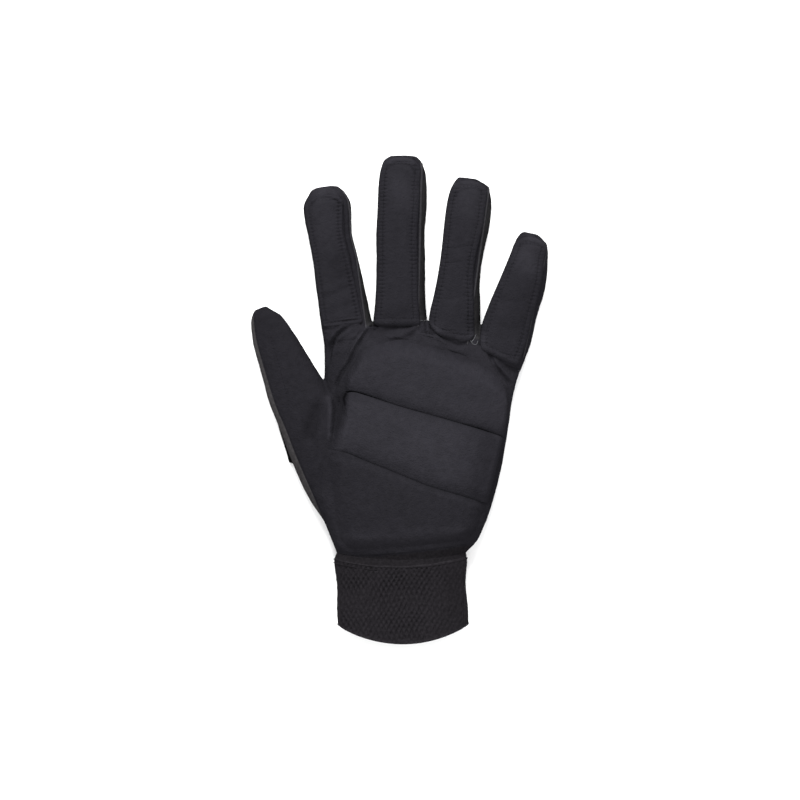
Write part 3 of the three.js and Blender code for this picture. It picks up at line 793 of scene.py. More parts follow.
def relaxed(values, columns, rows, passes):
    """Values on a grid, each drawn towards its neighbours a number of times."""
    grid = values.reshape(columns, rows, -1)
    for _ in range(passes):
        for axis in (0, 1):
            ends = [(1, 1) if k == axis else (0, 0) for k in range(3)]
            wide = np.pad(grid, ends, mode="edge")
            count = grid.shape[axis]
            before, after = (np.take(wide, range(k, k + count), axis=axis) for k in (0, 2))
            grid = 0.5 * grid + 0.25 * (before + after)
    return grid.reshape(columns * rows, -1)


def lay_grid(name, places, offsets, columns, rows, passes=0):
    """A sheet over the hand. It stands off along the normals and has the thickness of leather."""
    points, normals = drop(places)
    if passes:
        points[:, 2:] = relaxed(points[:, 2:], columns, rows, passes)
        normals = relaxed(normals, columns, rows, passes)
        normals /= np.linalg.norm(normals, axis=1)[:, None]
    points = points + normals * offsets[:, None]
    obj = make_object(name, points, grid_faces(columns, rows))
    if obj.data.polygons[len(obj.data.polygons) // 2].normal.z < 0:
        obj.data.flip_normals()
    give_wall(obj, LEATHER)
    return obj


STITCH_PITCH = 1.9
STITCH_LENGTH = 0.55
STITCH_RADIUS = 0.11
STITCH_INSET = 2.3
STITCH_STEPS = 4  # how many steps along a line a stitch and the gap after it take
STITCH_RISE = 0.3  # how far its line lies over the surface, as a share of its radius
STITCH_ARCH = 0.05
STITCH_GROOVE = 0.3
STITCH_GROOVE_WIDTH = 0.5
PATCH_STEP = 0.4
PATCH_WIDTH = 22  # about the widest patch, from which the grid's rows follow
PATCH_HEIGHT = 0.45
PATCH_FOOT = 0.3  # how deep in the skin a patch's edge starts
PATCH_ROUNDING = 0.9
PATCH_CUSHION = 0.3
PUCKER_DEPTH = 0.5
PUCKER_WIDTH = 1.2  # how far the puckers reach from the stitch line
PUCKER_STRENGTH = 0.65  # how much of that depth they have on average
PUCKER_NOISE = (0.6, 11, 8)  # height, size and seed of the unevenness of the puckers, and of the surface
PATCH_NOISE = [(0.18, 9, 3), (0.05, 1.6, 4)]
TIP_ARC = 6.0  # how much further the middle of a patch's tip reaches than its corners
TIP_ARC_END, TIP_ARC_POWER = 0.92, 2.6  # how far round that arc runs, and how flat its middle is
TIP_WIDENING = 2.2  # how much nearer to the outline a patch comes on its right at the tip
TIP_WIDENS = 16, 2  # how far from the finger's end that begins and ends
PATCH_HALF = 9.0  # about half a patch's width at its root
# How far inside a patch's edge each part of its relief begins, and where it is full.
CUSHION_FADE = 1.5, 5.0
DIP_FADE = 1.0, 4.0
WAVE_FADE = 0.3, 2.0
DIP_SLANT = 0.12
DIP_SWELL = 0.4  # how high the leather swells beside a dip, as a share of its depth
DIP_SWELL_AWAY = 2.2  # how far from its middle that is, as a share of its width
# Soft dips across the patches, where the fingers bend: the distance along the finger, depth, width.
DIPS = {
    "index": [(21.9, 0.5, 1.6), (13.0, 0.3, 1.8), (36.0, 0.25, 3.0)],
    "middle": [(6.0, 0.4, 2.8), (40.0, 0.15, 1.2), (62.0, 0.2, 3.5)],
    "ring": [(48.6, 0.2, 0.9), (41.5, 0.15, 0.9), (23.5, 0.15, 1.0)],
    "little": [(30.0, 0.3, 2.4), (17.0, 0.25, 2.6)],
}


def patch_places(name):
    """A grid over a finger's patch: distances along and across, and each place's distance to the edge."""
    finger = fingers[name]
    table = finger.table["patch"]
    columns = int(finger.length / PATCH_STEP)
    rows = int(PATCH_WIDTH / PATCH_STEP)
    v = np.linspace(0, 1, rows)[None, :]
    u = np.linspace(0, 1, columns)[:, None]
    # The tip's edge is an arc, and the root's edge has two round corners.
    across = np.abs(2 * v - 1)
    corner_share = table["corner"] / PATCH_HALF
    corner = 1 - quarter_round((1 - across) / corner_share)
    start = between(*table["start"], v) + table["corner"] * corner
    arc = 1 - np.sqrt(1 - TIP_ARC_END * across**TIP_ARC_POWER)
    end = finger.length - table["tip"] - TIP_ARC * arc
    along = between(start, end, u)
    left, right = finger.reach(along)
    left_inside, right_inside = table["inside"]
    low = left_inside - left
    first, last = (finger.length - away for away in TIP_WIDENS)
    high = right - right_inside + TIP_WIDENING * smoothstep(first, last, along)
    aside = between(low, high, v)
    edge = np.minimum.reduce([aside - low, high - aside, along - start, end - along])
    return finger, along, aside, edge


def make_patch(name):
    """A leather overlay on a finger: a thick edge, a sunk stitch line and puckers across it."""
    finger, along, aside, edge = patch_places(name)
    columns, rows = along.shape
    places = finger.place(along.ravel(), aside.ravel())
    flat = np.column_stack([places, np.zeros(len(places))])
    patchy = (PUCKER_STRENGTH + soft_noise(flat, PUCKER_NOISE)).reshape(along.shape)
    strength = np.interp(np.linspace(-1, 1, rows), (-0.2, 0.2), finger.table["patch"]["puckers"])
    pucker = np.sin(2 * np.pi * along / STITCH_PITCH + 2.0 * np.sin(along / 9.0))
    puckers = PUCKER_DEPTH * bell(edge - STITCH_INSET, PUCKER_WIDTH) * patchy * strength * pucker
    height = (PATCH_HEIGHT + PATCH_FOOT) * quarter_round(edge / PATCH_ROUNDING) - PATCH_FOOT
    height += puckers - STITCH_GROOVE * bell(edge - STITCH_INSET, STITCH_GROOVE_WIDTH)
    height += PATCH_CUSHION * smoothstep(*CUSHION_FADE, edge)
    for middle, depth, width in DIPS[name]:
        away = along - middle - DIP_SLANT * aside - 0.8 * np.sin(aside / 4.0)
        dip = bell(away, width) - DIP_SWELL * bell(away - DIP_SWELL_AWAY * width, width)
        height -= depth * dip * smoothstep(*DIP_FADE, edge)
    waves = soft_noise(flat * [1, 1.4, 1], PATCH_NOISE[0]) + soft_noise(flat, PATCH_NOISE[1])
    height = height.ravel() + waves * smoothstep(*WAVE_FADE, edge).ravel()
    return lay_grid(f"patch_{name}_leather", places, height, columns, rows)


# The pads. "ribs" run from the wrist's edge to the fingers' edge: x and y of both ends. "thickness" is
# how full a pad is, "tone" how light, "rolls" how wide the roll down to the skin is at each edge, and
# "fades" names the edges that flatten out instead of being sewn.

PADS = {
    "pad_upper": {
        "thickness": 4,
        "tone": 1.42,
        "fades": {"high", "left", "right"},
        "rolls": {"low": 6.5, "high": 12.5, "left": 9, "right": 6},
        "ribs": [
            (-30.2, 3, -31, 5.5), (-27, 4.2, -28.2, 10.5), (-22.8, 4.4, -22.6, 19.5),
            (-16.3, 2.8, -15.5, 28), (0.5, -3.3, 0.5, 30.6), (20.5, -9, 20.5, 26.8),
            (38, -13.6, 38, 20.8), (48, -17, 49.5, 13), (53.8, -19.2, 55.8, 4),
        ],
    },
    "pad_middle": {
        "thickness": 5,
        "tone": 1.5,
        "fades": {"left", "right"},
        "rolls": {"low": 7.5, "high": 3.2, "left": 7, "right": 6},
        "ribs": [
            (-34.8, -24.6, -29, 1), (-27.2, -25.6, -23.4, 3), (-20.5, -28.2, -16.5, 1.5),
            (-5, -34.2, 0.5, -4.1), (14, -41.8, 18.8, -9.2), (29.5, -46.5, 37, -14.5),
            (39.5, -49.6, 47.5, -17.9), (45.4, -51.2, 53.2, -20.2),
        ],
    },
    "pad_heel": {
        "thickness": 3.4,
        "tone": 1.1,
        "fades": {"low", "left", "right"},
        "rolls": {"low": 9, "high": 2.4, "left": 11, "right": 10},
        "ribs": [
            (-31, -74, -38, -24.4), (-26.5, -75, -27.2, -26.3), (-20.5, -75.6, -20.5, -29),
            (-5, -75.2, -5, -35), (10.5, -73.8, 14, -42.7), (23, -72.2, 29.5, -47.4),
            (32.5, -71, 39.5, -50.5), (38.5, -69, 45.6, -52.1),
        ],
    },
}
PAD_BREADTH = 0.42  # share of a pad's height that its middle has over its sewn edges
PAD_SPREAD = 11.0  # how far in from a sewn edge that share is reached
PAD_STEP = 0.55
PAD_SEAM = 2.3  # how far over the hand's plain form the sewn edges lie
PAD_EDGE = -0.5  # and the edges that fade out
PAD_REACH = 0.45  # how far the sewn edges reach towards each other
PAD_BASE_PASSES = 60
PAD_NOISE = [(0.25, 6, 5), (0.45, 17, 6), (0.06, 1.7, 7)]


def roll(distance, width, fades):
    """The height of a pad near one edge, as a share of its fullness."""
    if fades:
        return smoothstep(0, width, distance)
    crown = smoothstep(-PAD_SPREAD, PAD_SPREAD, distance) * 2 - 1
    return (1 - PAD_BREADTH) * quarter_round(distance / width) + PAD_BREADTH * crown


def make_pad(name):
    """A quilted pad: a sheet over the smoothed form of the hand, full between its edges."""
    table = PADS[name]
    fades = table["fades"]
    ribs = smooth_rows(table["ribs"], 24)
    low, high = ribs[:, :2], ribs[:, 2:]
    lengths = np.linalg.norm(high - low, axis=1)[:, None]
    columns, rows = len(ribs), int(lengths.max() / PAD_STEP)
    run = (high - low) / lengths
    if "low" not in fades:
        low -= run * PAD_REACH
    if "high" not in fades:
        high += run * PAD_REACH
    v = np.linspace(0, 1, rows)
    places = low[:, None] * (1 - v[None, :, None]) + high[:, None] * v[None, :, None]
    lengths = np.linalg.norm(high - low, axis=1)[:, None]
    steps = np.linalg.norm(np.diff(places, axis=0), axis=2)
    across = np.vstack([np.zeros(rows), np.cumsum(steps, axis=0)])
    edges = {"low": lengths * v, "high": lengths * (1 - v), "left": across, "right": across[-1] - across}
    shares = {side: roll(edges[side], table["rolls"][side], side in fades) for side in edges}
    fullness = math.prod(shares.values()).ravel()
    faded = math.prod(shares[side] for side in edges if side in fades).ravel()
    flat = places.reshape(-1, 2)
    uneven = soft_noise(np.column_stack([flat, np.zeros(len(flat))]), *PAD_NOISE)
    height = between(PAD_EDGE, PAD_SEAM, faded)
    height += (table["thickness"] - PAD_SEAM + uneven) * fullness
    pad = lay_grid(f"{name}_leather", flat, height, columns, rows, PAD_BASE_PASSES)
    # The wall's inner side repeats the sheet's points, and its rim adds none.
    tone = np.resize(between(1, table["tone"], faded), len(pad.data.vertices))
    # The pad's own tone, times the painted shade and highlights and other tone changes of the table.
    set_tone_and_light(pad, tone * tone_and_light_at(coordinates(pad.data)))
    return pad


# The cuff.

CUFF_SIDES = 480
CUFF_STEPS = {"band": 12, "knit": 27}  # rings from one row of the cuff's table to the next
BAND_END = 2  # the row where the band ends and the knit begins
BAND_WALL = 1.6
KNIT_WALL = 1.8
KNIT_PITCH_ACROSS = 2.5
KNIT_PITCH_ALONG = 4.6
KNIT_DEPTH = 0.62
KNIT_NOISE = (0.5, 8, 9)
KNIT_STRENGTH = 0.85  # how much of that depth it has on average
KNIT_DRIFT = -18.0, 12.0  # between these places, from left to right, the ribs give way to pits
RISING_SHARE = 0.65, 0.55  # how much of the ribs rises to the right, before and after that
RIB_HEIGHT = 0.75
PIT_DEPTH = 0.25, 0.75  # before and after that
KNIT_RUBBED = 10.0, 26.0  # between these places the knit grows flatter
RUBBED_SHARE = 0.75
KNIT_STRIPS = (-29.4, 32.3)  # where a seam runs along the knit
KNIT_SEAM_DEPTH, KNIT_SEAM_WIDTH = 0.35, 0.3
KNIT_PLAIN = -28.8, 31.8  # the knit is plain further out than these places to the left and right
KNIT_PLAIN_FADE = 1.2
HEM_SWELL, HEM_SWELL_WIDTH = 0.35, 0.035
HEM_DROP, HEM_DROP_SHARE = 0.6, 0.985  # and from which share of its length the very end is rounded
UNDERSIDE_SHARE = 0.5
UNDERSIDE_Z = 9


def even_angles(row):
    """Angles at which the points of a cross-section lie evenly along its outline."""
    angles = np.linspace(0, 2 * np.pi, 3 * CUFF_SIDES + 1)
    reached = distances_along(section(row, 0.0, angles))
    wanted = np.linspace(0, reached[-1], CUFF_SIDES, endpoint=False)
    return np.interp(wanted, reached, angles)


def make_tube(name, rows, relief, thickness):
    """A tube through cross-sections, with relief as a function of the place around and along it."""
    angles = even_angles(rows[len(rows) // 2])
    rings = np.array([section(row, 0.0, angles) for row in rows])
    obj = make_object(name, rings.reshape(-1, 3), tube_faces(len(rings), CUFF_SIDES))
    points = coordinates(obj.data)
    normals = vertex_normals(obj.data)
    if np.sum(normals * (points - points.mean(0)) * [1, 0, 1], axis=1).mean() < 0:
        obj.data.flip_normals()
        normals = -normals
    along = np.repeat(np.linspace(0, 1, len(rings)), CUFF_SIDES)
    set_coordinates(obj.data, points + normals * relief(along, points)[:, None])
    give_wall(obj, thickness)
    return obj


def knit_lattice(points):
    """Diagonal ribs that cross in a lattice of small pits, plain at the sides, in millimetres."""
    x, y, z = points.T
    wander = 0.14 * np.sin(y / 3.1) + 0.12 * np.sin(x / 4.3)
    u = x / KNIT_PITCH_ACROSS
    w = y / KNIT_PITCH_ALONG - wander
    rising = np.cos(2 * np.pi * (u - w))
    falling = np.cos(2 * np.pi * (u + w))
    drift = smoothstep(*KNIT_DRIFT, x)
    ribs = between(falling, rising, between(*RISING_SHARE, drift))
    pits = np.clip(-0.5 * (rising + falling), 0, 1)
    lattice = RIB_HEIGHT * ribs - between(*PIT_DEPTH, drift) * pits
    left, right = KNIT_PLAIN
    sides = smoothstep(left - KNIT_PLAIN_FADE, left, x)
    sides = sides * smoothstep(-right - KNIT_PLAIN_FADE, -right, -x)
    patchy = KNIT_STRENGTH + soft_noise(points, KNIT_NOISE)
    rubbed = 1 - RUBBED_SHARE * smoothstep(*KNIT_RUBBED, x)
    return KNIT_DEPTH * rubbed * patchy * lattice * np.where(z > UNDERSIDE_Z, sides, UNDERSIDE_SHARE)


def knit_relief(along, points):
    """The knit with its hem, which is rounded at the very end, its two seams and a slow unevenness."""
    x, y, _ = points.T
    hem = HEM_SWELL * bell(1 - along, HEM_SWELL_WIDTH)
    hem -= HEM_DROP * smoothstep(HEM_DROP_SHARE, 1.0, along)
    seams = KNIT_SEAM_DEPTH * sum(bell(x - seam_x, KNIT_SEAM_WIDTH) for seam_x in KNIT_STRIPS)
    slow = 0.3 * np.sin(x / 5.5) * np.sin(y / 7.0) * smoothstep(0.0, 0.2, along)
    return knit_lattice(points) * smoothstep(0.03, 0.09, 1 - along) + hem + slow - seams


# Where the band's raised line runs at its left and right end, as shares of the band's width.
BAND_LINE = {"x": (-29.0, 29.5), "share": (0.72, 0.5)}
LINE_WIDTH = 0.045
SECOND_LINE = 0.13  # how far below it the fainter line runs
# Both lines and the groove above them: how far below the raised line, the height and the width.
BAND_FORMS = [(0, 0.42, LINE_WIDTH), (SECOND_LINE, 0.12, 0.04), (-0.1, -0.12, 0.05)]
BAND_TUCK, TUCK_SHARE = 0.4, 0.14  # how deep the band is tucked in, over which share of its width
BAND_SUNK = 0.15  # how much deeper than its table says the whole band lies


def below_band_line(along, x):
    """How far below its raised line places on the band are, as shares of its width."""
    return along - np.interp(x, BAND_LINE["x"], BAND_LINE["share"])


def band_relief(along, points):
    """A smooth band that comes out from under the palm, with two thin raised lines above the knit."""
    below = below_band_line(along, points[:, 0])
    lines = sum(height * bell(below - place, width) for place, height, width in BAND_FORMS)
    tuck = BAND_TUCK * (1 - smoothstep(0.0, TUCK_SHARE, along)) + BAND_SUNK
    return lines - tuck + knit_lattice(points) * smoothstep(SECOND_LINE, 0.3, below)


# Threads and seams.


def cast(surface, place):
    """A list with the point and the normal where a ray from above meets a surface, empty if it misses."""
    hit, normal, _, _ = surface.ray_cast(Vector((*place, ABOVE)), DOWN)
    return [] if hit is None else [(np.array(hit), np.array(normal))]


THREAD_END = 0.3  # how thick a thread's ends are, as a share of its middle


def sweep(line, radius, sides=8):
    """A round tube along a line of points, narrow at both ends."""
    line = np.asarray(line)
    tangent = np.gradient(line, axis=0)
    tangent /= np.linalg.norm(tangent, axis=1)[:, None]
    side = np.cross(tangent, [0.0, 0.0, 1.0])
    side /= np.maximum(np.linalg.norm(side, axis=1), 1e-6)[:, None]
    rise = np.cross(side, tangent)
    angles = np.linspace(0, 2 * np.pi, sides, endpoint=False)[None, :, None]
    radii = np.ones(len(line)) * radius
    radii[[0, -1]] *= THREAD_END
    ring = np.cos(angles) * side[:, None] + np.sin(angles) * rise[:, None]
    points = line[:, None] + radii[:, None, None] * ring
    faces = tube_faces(len(line), sides)
    faces.append(tuple(range(sides)))
    faces.append(tuple(reversed(range((len(line) - 1) * sides, len(line) * sides))))
    return points.reshape(-1, 3), faces


def resample(line, step):
    line = np.asarray(line)
    reached = distances_along(line)
    wanted = np.linspace(0, reached[-1], max(2, int(round(reached[-1] / step)) + 1))
    return np.stack([np.interp(wanted, reached, line[:, k]) for k in range(line.shape[1])], axis=1)


def stitches(line, surface, radius=STITCH_RADIUS):
    """Short threads along a line in the plane of the outline, lying on a piece's surface."""
    step = STITCH_PITCH / STITCH_STEPS
    spots = resample(line, step)
    parts = []
    for i in range(0, len(spots) - STITCH_STEPS + 1, STITCH_STEPS):
        a = spots[i]
        b = between(spots[i + 1], spots[i + 2], STITCH_LENGTH / step - 1)
        hits = [hit for place in (a, (a + b) / 2, b) for hit in cast(surface, place)]
        ends = [point + normal * (STITCH_RISE * radius) for point, normal in hits]
        if len(ends) == 3:
            ends[1] += [0, 0, STITCH_ARCH]
            parts.append(sweep(resample(ends, STITCH_LENGTH / 2), radius, 6))
    return parts


# Materials.


WAVE_PITCH = 0.314  # the width of a wave texture's bands at a scale of 1


class Look:
    """A material in the making."""

    def __init__(self, name, color, roughness, specular=0.0):
        self.color = color
        self.material = bpy.data.materials.new(name)
        self.material.use_nodes = True
        self.tree = self.material.node_tree
        self.shader = self.tree.nodes["Principled BSDF"]
        self.shader.inputs["Base Color"].default_value = (*color, 1)
        self.shader.inputs["Roughness"].default_value = roughness
        self.shader.inputs["Specular IOR Level"].default_value = specular
        self.place = self.node("TexCoord").outputs["Object"]
        self.normal = None

    def node(self, kind, inputs=(), **settings):
        """A new node. Its inputs are named in pairs with a number, or with the output that feeds them."""
        node = self.tree.nodes.new("ShaderNode" + kind)
        for name, value in settings.items():
            setattr(node, name, value)
        for name, value in inputs:
            if isinstance(value, bpy.types.NodeSocket):
                self.tree.links.new(value, node.inputs[name])
            else:
                node.inputs[name].default_value = value
        return node

    def noise(self, size, detail, rough):
        """A noise texture whose features are about that many millimetres wide."""
        scale = 1 / (size * MM)
        inputs = [("Vector", self.place), ("Scale", scale), ("Detail", detail), ("Roughness", rough)]
        return self.node("TexNoise", inputs).outputs["Fac"]

    def bump(self, height, strength, distance):
        """Relief of a height in millimetres, on top of the relief before it."""
        inputs = [("Height", height), ("Strength", strength), ("Distance", distance * MM)]
        if self.normal is not None:
            inputs.append(("Normal", self.normal))
        self.normal = self.node("Bump", inputs).outputs["Normal"]
        self.tree.links.new(self.normal, self.shader.inputs["Normal"])

    def mottle(self, factor, spread):
        """The colour, varied by a texture and scaled by an attribute that holds painted shade and
        highlights and other lighter and darker spots.
        """
        ramp = self.node("ValToRGB", [("Fac", factor)])
        for element, position, share in zip(ramp.color_ramp.elements, (0.3, 0.7), (1 - spread, 1 + spread)):
            element.position = position
            element.color = (*(c * share for c in self.color), 1)
        tone_and_light = self.node("Attribute", attribute_name="tone_and_light")
        inputs = [(0, ramp.outputs["Color"]), ("Scale", tone_and_light.outputs["Fac"])]
        scaled = self.node("VectorMath", inputs, operation="SCALE")
        self.tree.links.new(scaled.outputs["Vector"], self.shader.inputs["Base Color"])


def leather(name, color, spread=0.16):
    """Matt leather: slightly mottled, with a fine pebbled grain and soft creases."""
    look = Look(name, color, 0.7)
    look.mottle(look.noise(3.5, 8.0, 0.7), spread)
    grain = look.node("TexVoronoi", [("Vector", look.place), ("Scale", 1 / (0.7 * MM))])
    crease = look.noise(2.2, 5.0, 0.65)
    look.bump(grain.outputs["Distance"], 0.8, 0.17)
    look.bump(look.noise(1.0, 3.0, 0.6), 0.9, 0.36)
    look.bump(crease, 0.8, 0.7)
    shade = look.node("MapRange", [("Value", crease), ("To Min", 0.62), ("To Max", 0.8)])
    look.tree.links.new(shade.outputs["Result"], look.shader.inputs["Roughness"])
    return look.material


def woven(name, color, thread_width):
    """Close stretch cloth: a fine weave of threads, with a little fuzz."""
    look = Look(name, color, 0.9)
    wave = [("Vector", look.place), ("Scale", WAVE_PITCH / (thread_width * MM)), ("Distortion", 0.6)]
    across, along = (look.node("TexWave", wave, bands_direction=axis).outputs["Fac"] for axis in "XY")
    weave = look.node("Math", [(0, across), (1, along)], operation="MULTIPLY")
    fuzz = look.noise(1.2, 4.0, 0.55)
    look.mottle(fuzz, 0.3)
    look.bump(weave.outputs["Value"], 0.6, 0.12)
    look.bump(fuzz, 0.3, 0.1)
    return look.material


palm_leather = leather("palm_leather", (0.0094, 0.0090, 0.0108))
patch_leather = leather("patch_leather", (0.0104, 0.0100, 0.0120), spread=0.12)
pad_leather = leather("pad_leather", (0.0096, 0.0092, 0.0111), spread=0.14)
# The raised seams' leather is lighter than the palm's as a painted highlight, where their crests catch the
# light.
piping_painted_highlight_leather = leather("piping_painted_highlight_leather", (0.020, 0.0194, 0.0215))
thread = woven("thread", (0.0055, 0.0052, 0.0062), 0.15)
stretch_cloth = woven("stretch_cloth", (0.0118, 0.0115, 0.0121), 0.5)
# The cloth at the thumb's side is lighter than the back's as a painted sheen.
painted_sheen_cloth = woven("painted_sheen_cloth", (0.026, 0.0245, 0.0255), 0.5)
band_cloth = woven("band_cloth", (0.0082, 0.0075, 0.0085), 0.4)
# The band's raised line is lighter than the band as a painted highlight on its crest.
line_painted_highlight_cloth = woven("line_painted_highlight_cloth", (0.0135, 0.0125, 0.0140), 0.4)
knit_yarn = woven("knit_yarn", (0.0102, 0.0093, 0.0106), 0.45)
guard_cloth = woven("guard_cloth", (0.003, 0.003, 0.0032), 0.4)
pale_thread = woven("pale_thread", (0.05, 0.05, 0.054), 0.15)


def finish_piece(obj, material, nodes):
    obj.data.materials.clear()
    obj.data.materials.append(material)
    # Every piece without it gets the painted shade and highlights and other tone changes of the table.
    if "tone_and_light" not in obj.data.attributes:
        set_tone_and_light(obj, tone_and_light_at(coordinates(obj.data)))
    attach(obj, "root")
    if nodes:
        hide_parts(*nodes)
    return obj


def paint(obj, material, chosen):
    """A second material for the faces that a test of their centres picks."""
    obj.data.materials.append(material)
    picked = chosen(centres_of(obj.data))
    used = np.zeros(len(obj.data.polygons), int)
    obj.data.polygons.foreach_get("material_index", used)
    obj.data.polygons.foreach_set("material_index", np.where(picked, len(obj.data.materials) - 1, used))


finish_piece(pieces["palm_leather"], palm_leather, ["palm_shell"])
paint(pieces["palm_leather"], band_cloth, lambda centres: below_hem_line(centres) > 0.9)
finish_piece(pieces["thumb_leather"], palm_leather, ["thumb_shell"])
finish_piece(pieces["back_cloth"], stretch_cloth, ["back_shell"])
# The thumb's side cloth is lighter as a painted sheen.
finish_piece(pieces["thumb_painted_sheen_cloth"], painted_sheen_cloth, ["back_shell"])
for name in pieces:
    if name.startswith("fourchette"):
        finish_piece(pieces[name], stretch_cloth, [name])

patches = {name: make_patch(name) for name in fingers}
for name, obj in patches.items():
    finish_piece(obj, patch_leather, [f"patch_{name}"])

pads = {name: make_pad(name) for name in PADS}
for name, obj in pads.items():
    finish_piece(obj, palm_leather if name == "pad_heel" else pad_leather, [name])

band_rows = smooth_rows(CUFF, CUFF_STEPS["band"])[: BAND_END * CUFF_STEPS["band"] + 1]
knit_rows = smooth_rows(CUFF, CUFF_STEPS["knit"])[BAND_END * CUFF_STEPS["knit"] :]
band = make_tube("cuff_band_cloth", band_rows, band_relief, BAND_WALL)
knit = make_tube("cuff_knit_yarn", knit_rows, knit_relief, KNIT_WALL)
finish_piece(band, band_cloth, ["cuff_band"])


def band_share(centres):
    """How far below the band's raised line the centres of its faces are."""
    x, y, _ = centres.T
    share = share_across(band_rows[0], x)
    first, last = (front_of(row, share) for row in (band_rows[0], band_rows[-1]))
    return below_band_line((y - first) / (last - first), x)


paint(band, knit_yarn, lambda centres: band_share(centres) > 0.04)
# The crest of the raised line gets the lighter cloth: a painted highlight.
paint(band, line_painted_highlight_cloth, lambda centres: np.abs(band_share(centres)) < LINE_WIDTH)
finish_piece(knit, knit_yarn, ["cuff_knit"])


def patch_stitch_line(name):
    """The stitch line of a patch, once round, in the plane of the outline."""
    finger, along, aside, _ = patch_places(name)
    places = finger.place(along, aside)
    columns, rows = along.shape
    k = int(round(STITCH_INSET / ((aside[0, -1] - aside[0, 0]) / rows)))
    c = int(round(STITCH_INSET / ((along[-1, rows // 2] - along[0, rows // 2]) / columns)))
    left = places[c : columns - c, k]
    tip = places[columns - c - 1, k : rows - k]
    right = places[c : columns - c, rows - 1 - k][::-1]
    root = places[c, k : rows - k][::-1]
    return np.vstack([left, tip[1:], right[1:], root[1:]])


thread_parts = []
for name, obj in patches.items():
    thread_parts += stitches(patch_stitch_line(name), surface_of(obj))
finish_piece(join("patch_stitches", thread_parts), thread, [])


# The raised seams of the fingers: the finger and its side, how far along the seam starts, and its radius
# at the root and at the tip.
SEAM_LINES = [
    ("index", "right", 2, 0.45, 0.6),
    ("middle", "right", 1, 0.45, 0.85),
    ("middle", "left", 6, 0.25, 0.4),
    ("ring", "right", 0, 0.45, 0.7),
    ("ring", "left", 8, 0.25, 0.35),
    ("little", "right", 3, 0.5, 0.55),
]
SEAM_RISE = 0.15  # how far a seam's middle lies over the skin, as a share of its radius
SEAM_END = 3.0  # how far before the tip a seam ends


def finger_seam(name, side, start, root, tip):
    """A raised seam along one side of a finger, as points on the skin with its radius at each."""
    finger = fingers[name]
    along = np.linspace(start, finger.length - SEAM_END, int(finger.length))
    left, _ = finger.reach(along)
    aside = finger.seam(along) if side == "right" else SEAM_INSIDE - left
    radii = np.linspace(root, tip, len(along))
    laid = [
        (point + normal * SEAM_RISE * radius, radius)
        for place, radius in zip(finger.place(along, aside), radii)
        for point, normal in cast(whole, place)
    ]
    return zip(*laid)


whole = surface_of(*pieces.values())
seam_parts = [sweep(*finger_seam(*row)) for row in SEAM_LINES]
# The seams get that lighter leather: a painted highlight.
finish_piece(join("finger_seams", seam_parts), piping_painted_highlight_leather, [])

# A few stitches down the thumb, and the loose pale ends of thread in the crotches.
THUMB_STITCHES = [(-63.5, 31.0), (-62.0, 25.0), (-59.5, 18.0), (-57.0, 8.0), (-54.0, -4.0)]
THREAD_ENDS = [
    [(10.4, 38.7), (11.2, 39.3), (12.2, 38.9)],
    [(12.4, 38.9), (13.2, 39.4), (14.3, 39.2)],
    [(34.8, 31.6), (35.4, 29.4), (36.8, 27.4), (38.4, 27.4), (39.2, 29.2)],
    [(35.8, 28.4), (37.2, 30.0), (38.2, 32.4)],
]
THREAD_END_RADIUS = 0.17
THREAD_END_RISE = 0.2
thumb_surface = surface_of(pieces["thumb_leather"])
thumb_parts = stitches(smooth_rows(THUMB_STITCHES, 8), thumb_surface, radius=0.12)
finish_piece(join("thumb_stitches", thumb_parts), thread, [])
end_parts = []
for corners in THREAD_ENDS:
    hits = [hit for place in smooth_rows(corners, 4) for hit in cast(whole, place)]
    end_parts.append(sweep([point + [0, 0, THREAD_END_RISE] for point, _ in hits], THREAD_END_RADIUS, 6))
finish_piece(join("thread_ends", end_parts), pale_thread, [])

# The guard behind the thumb.
GUARD_OUTLINE = [
    *((-65.2, 3.8), (-62.6, -6.5), (-59.6, -17), (-56.4, -27), (-55.2, -31.6), (-52, -32.6)),
    *((-43, -29), (-42.2, -26), (-48.5, -2), (-52, 6), (-55, 7.4), (-63.5, 5.4)),
]
GUARD_THICKNESS = 2.2
GUARD_ROUNDING = 0.5


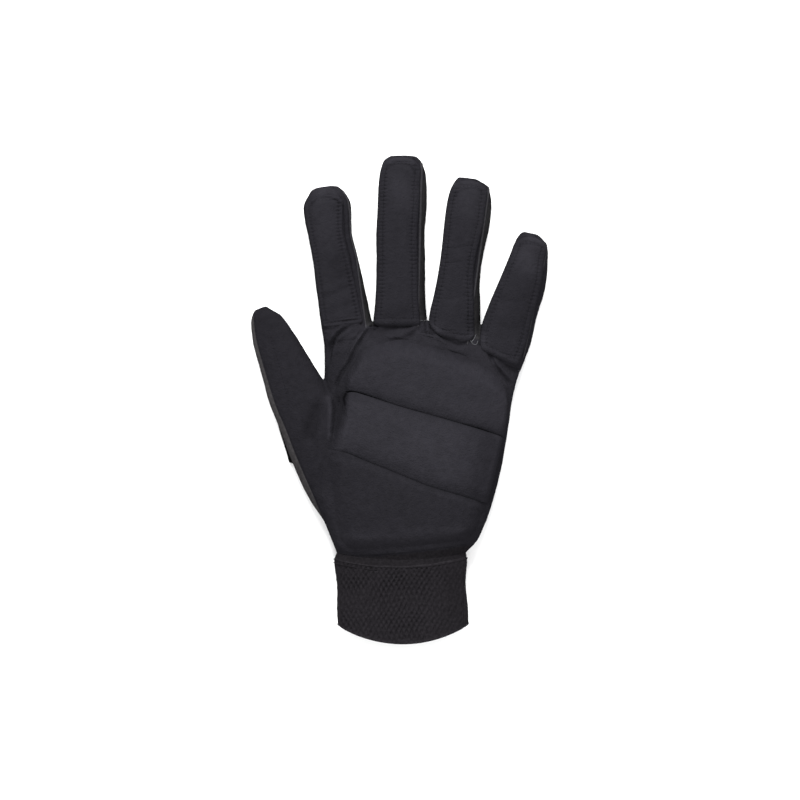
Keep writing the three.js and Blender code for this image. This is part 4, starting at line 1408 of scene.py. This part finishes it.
def make_guard():
    bm = bmesh.new()
    bottom = [bm.verts.new((x * MM, y * MM, 0)) for x, y in GUARD_OUTLINE]
    face = bm.faces.new(bottom)
    raised = bmesh.ops.extrude_face_region(bm, geom=[face])
    top = [item for item in raised["geom"] if isinstance(item, bmesh.types.BMVert)]
    bmesh.ops.translate(bm, verts=top, vec=(0, 0, GUARD_THICKNESS * MM))
    bmesh.ops.recalc_face_normals(bm, faces=bm.faces)
    rounding = {"offset": GUARD_ROUNDING * MM, "segments": 3, "profile": 0.5, "clamp_overlap": True}
    bmesh.ops.bevel(bm, geom=list(bm.edges), affect="EDGES", **rounding)
    return object_from("thumb_guard_cloth", bm)


finish_piece(make_guard(), guard_cloth, ["thumb_guard"])


# The stage.


FLOOR_Z = -0.3
FLOOR_REACH = 3000
WORLD_STRENGTH = 1.05


def area_light(name, place, size, energy):
    """A round soft light that points at the middle of the glove."""
    light = bpy.data.lights.new(name, "AREA")
    light.shape = "DISK"
    light.size = size
    light.energy = energy
    obj = show(name, light)
    obj.location = place
    obj.rotation_euler = (-Vector(place)).to_track_quat("-Z", "Y").to_euler()


def make_stage():
    corners = [(x * FLOOR_REACH, y * FLOOR_REACH, FLOOR_Z) for x, y in ((-1, -1), (1, -1), (1, 1), (-1, 1))]
    floor = make_object("floor", corners, [(0, 1, 2, 3)])
    floor.data.materials.append(Look("floor", (0.92, 0.92, 0.92), 0.9, 0.1).material)
    world = bpy.data.worlds.new("studio")
    bpy.context.scene.world = world
    world.use_nodes = True
    world.node_tree.nodes["Background"].inputs["Color"].default_value = (1, 1, 1, 1)
    world.node_tree.nodes["Background"].inputs["Strength"].default_value = WORLD_STRENGTH
    area_light("key", (-0.1, 0.95, 0.85), 0.7, 34.0)
    area_light("fill", (0.2, -0.5, 1.1), 0.9, 6.5)


# The camera looks straight down. The photograph's frame is 400 mm across at the outline's height.
FRAME_WIDTH = 400.0
FRAME_MIDDLE = (0.5, -0.25)
OUTLINE_HEIGHT = 6.0
LENS = 85.0
SENSOR = 36.0


def make_camera():
    camera = bpy.data.cameras.new("camera")
    camera.lens = LENS
    camera.sensor_width = SENSOR
    obj = show("camera", camera)
    obj.location = Vector((*FRAME_MIDDLE, OUTLINE_HEIGHT + FRAME_WIDTH * LENS / SENSOR)) * MM
    bpy.context.scene.camera = obj
    bpy.context.scene.view_settings.view_transform = "Standard"


make_stage()
make_camera()
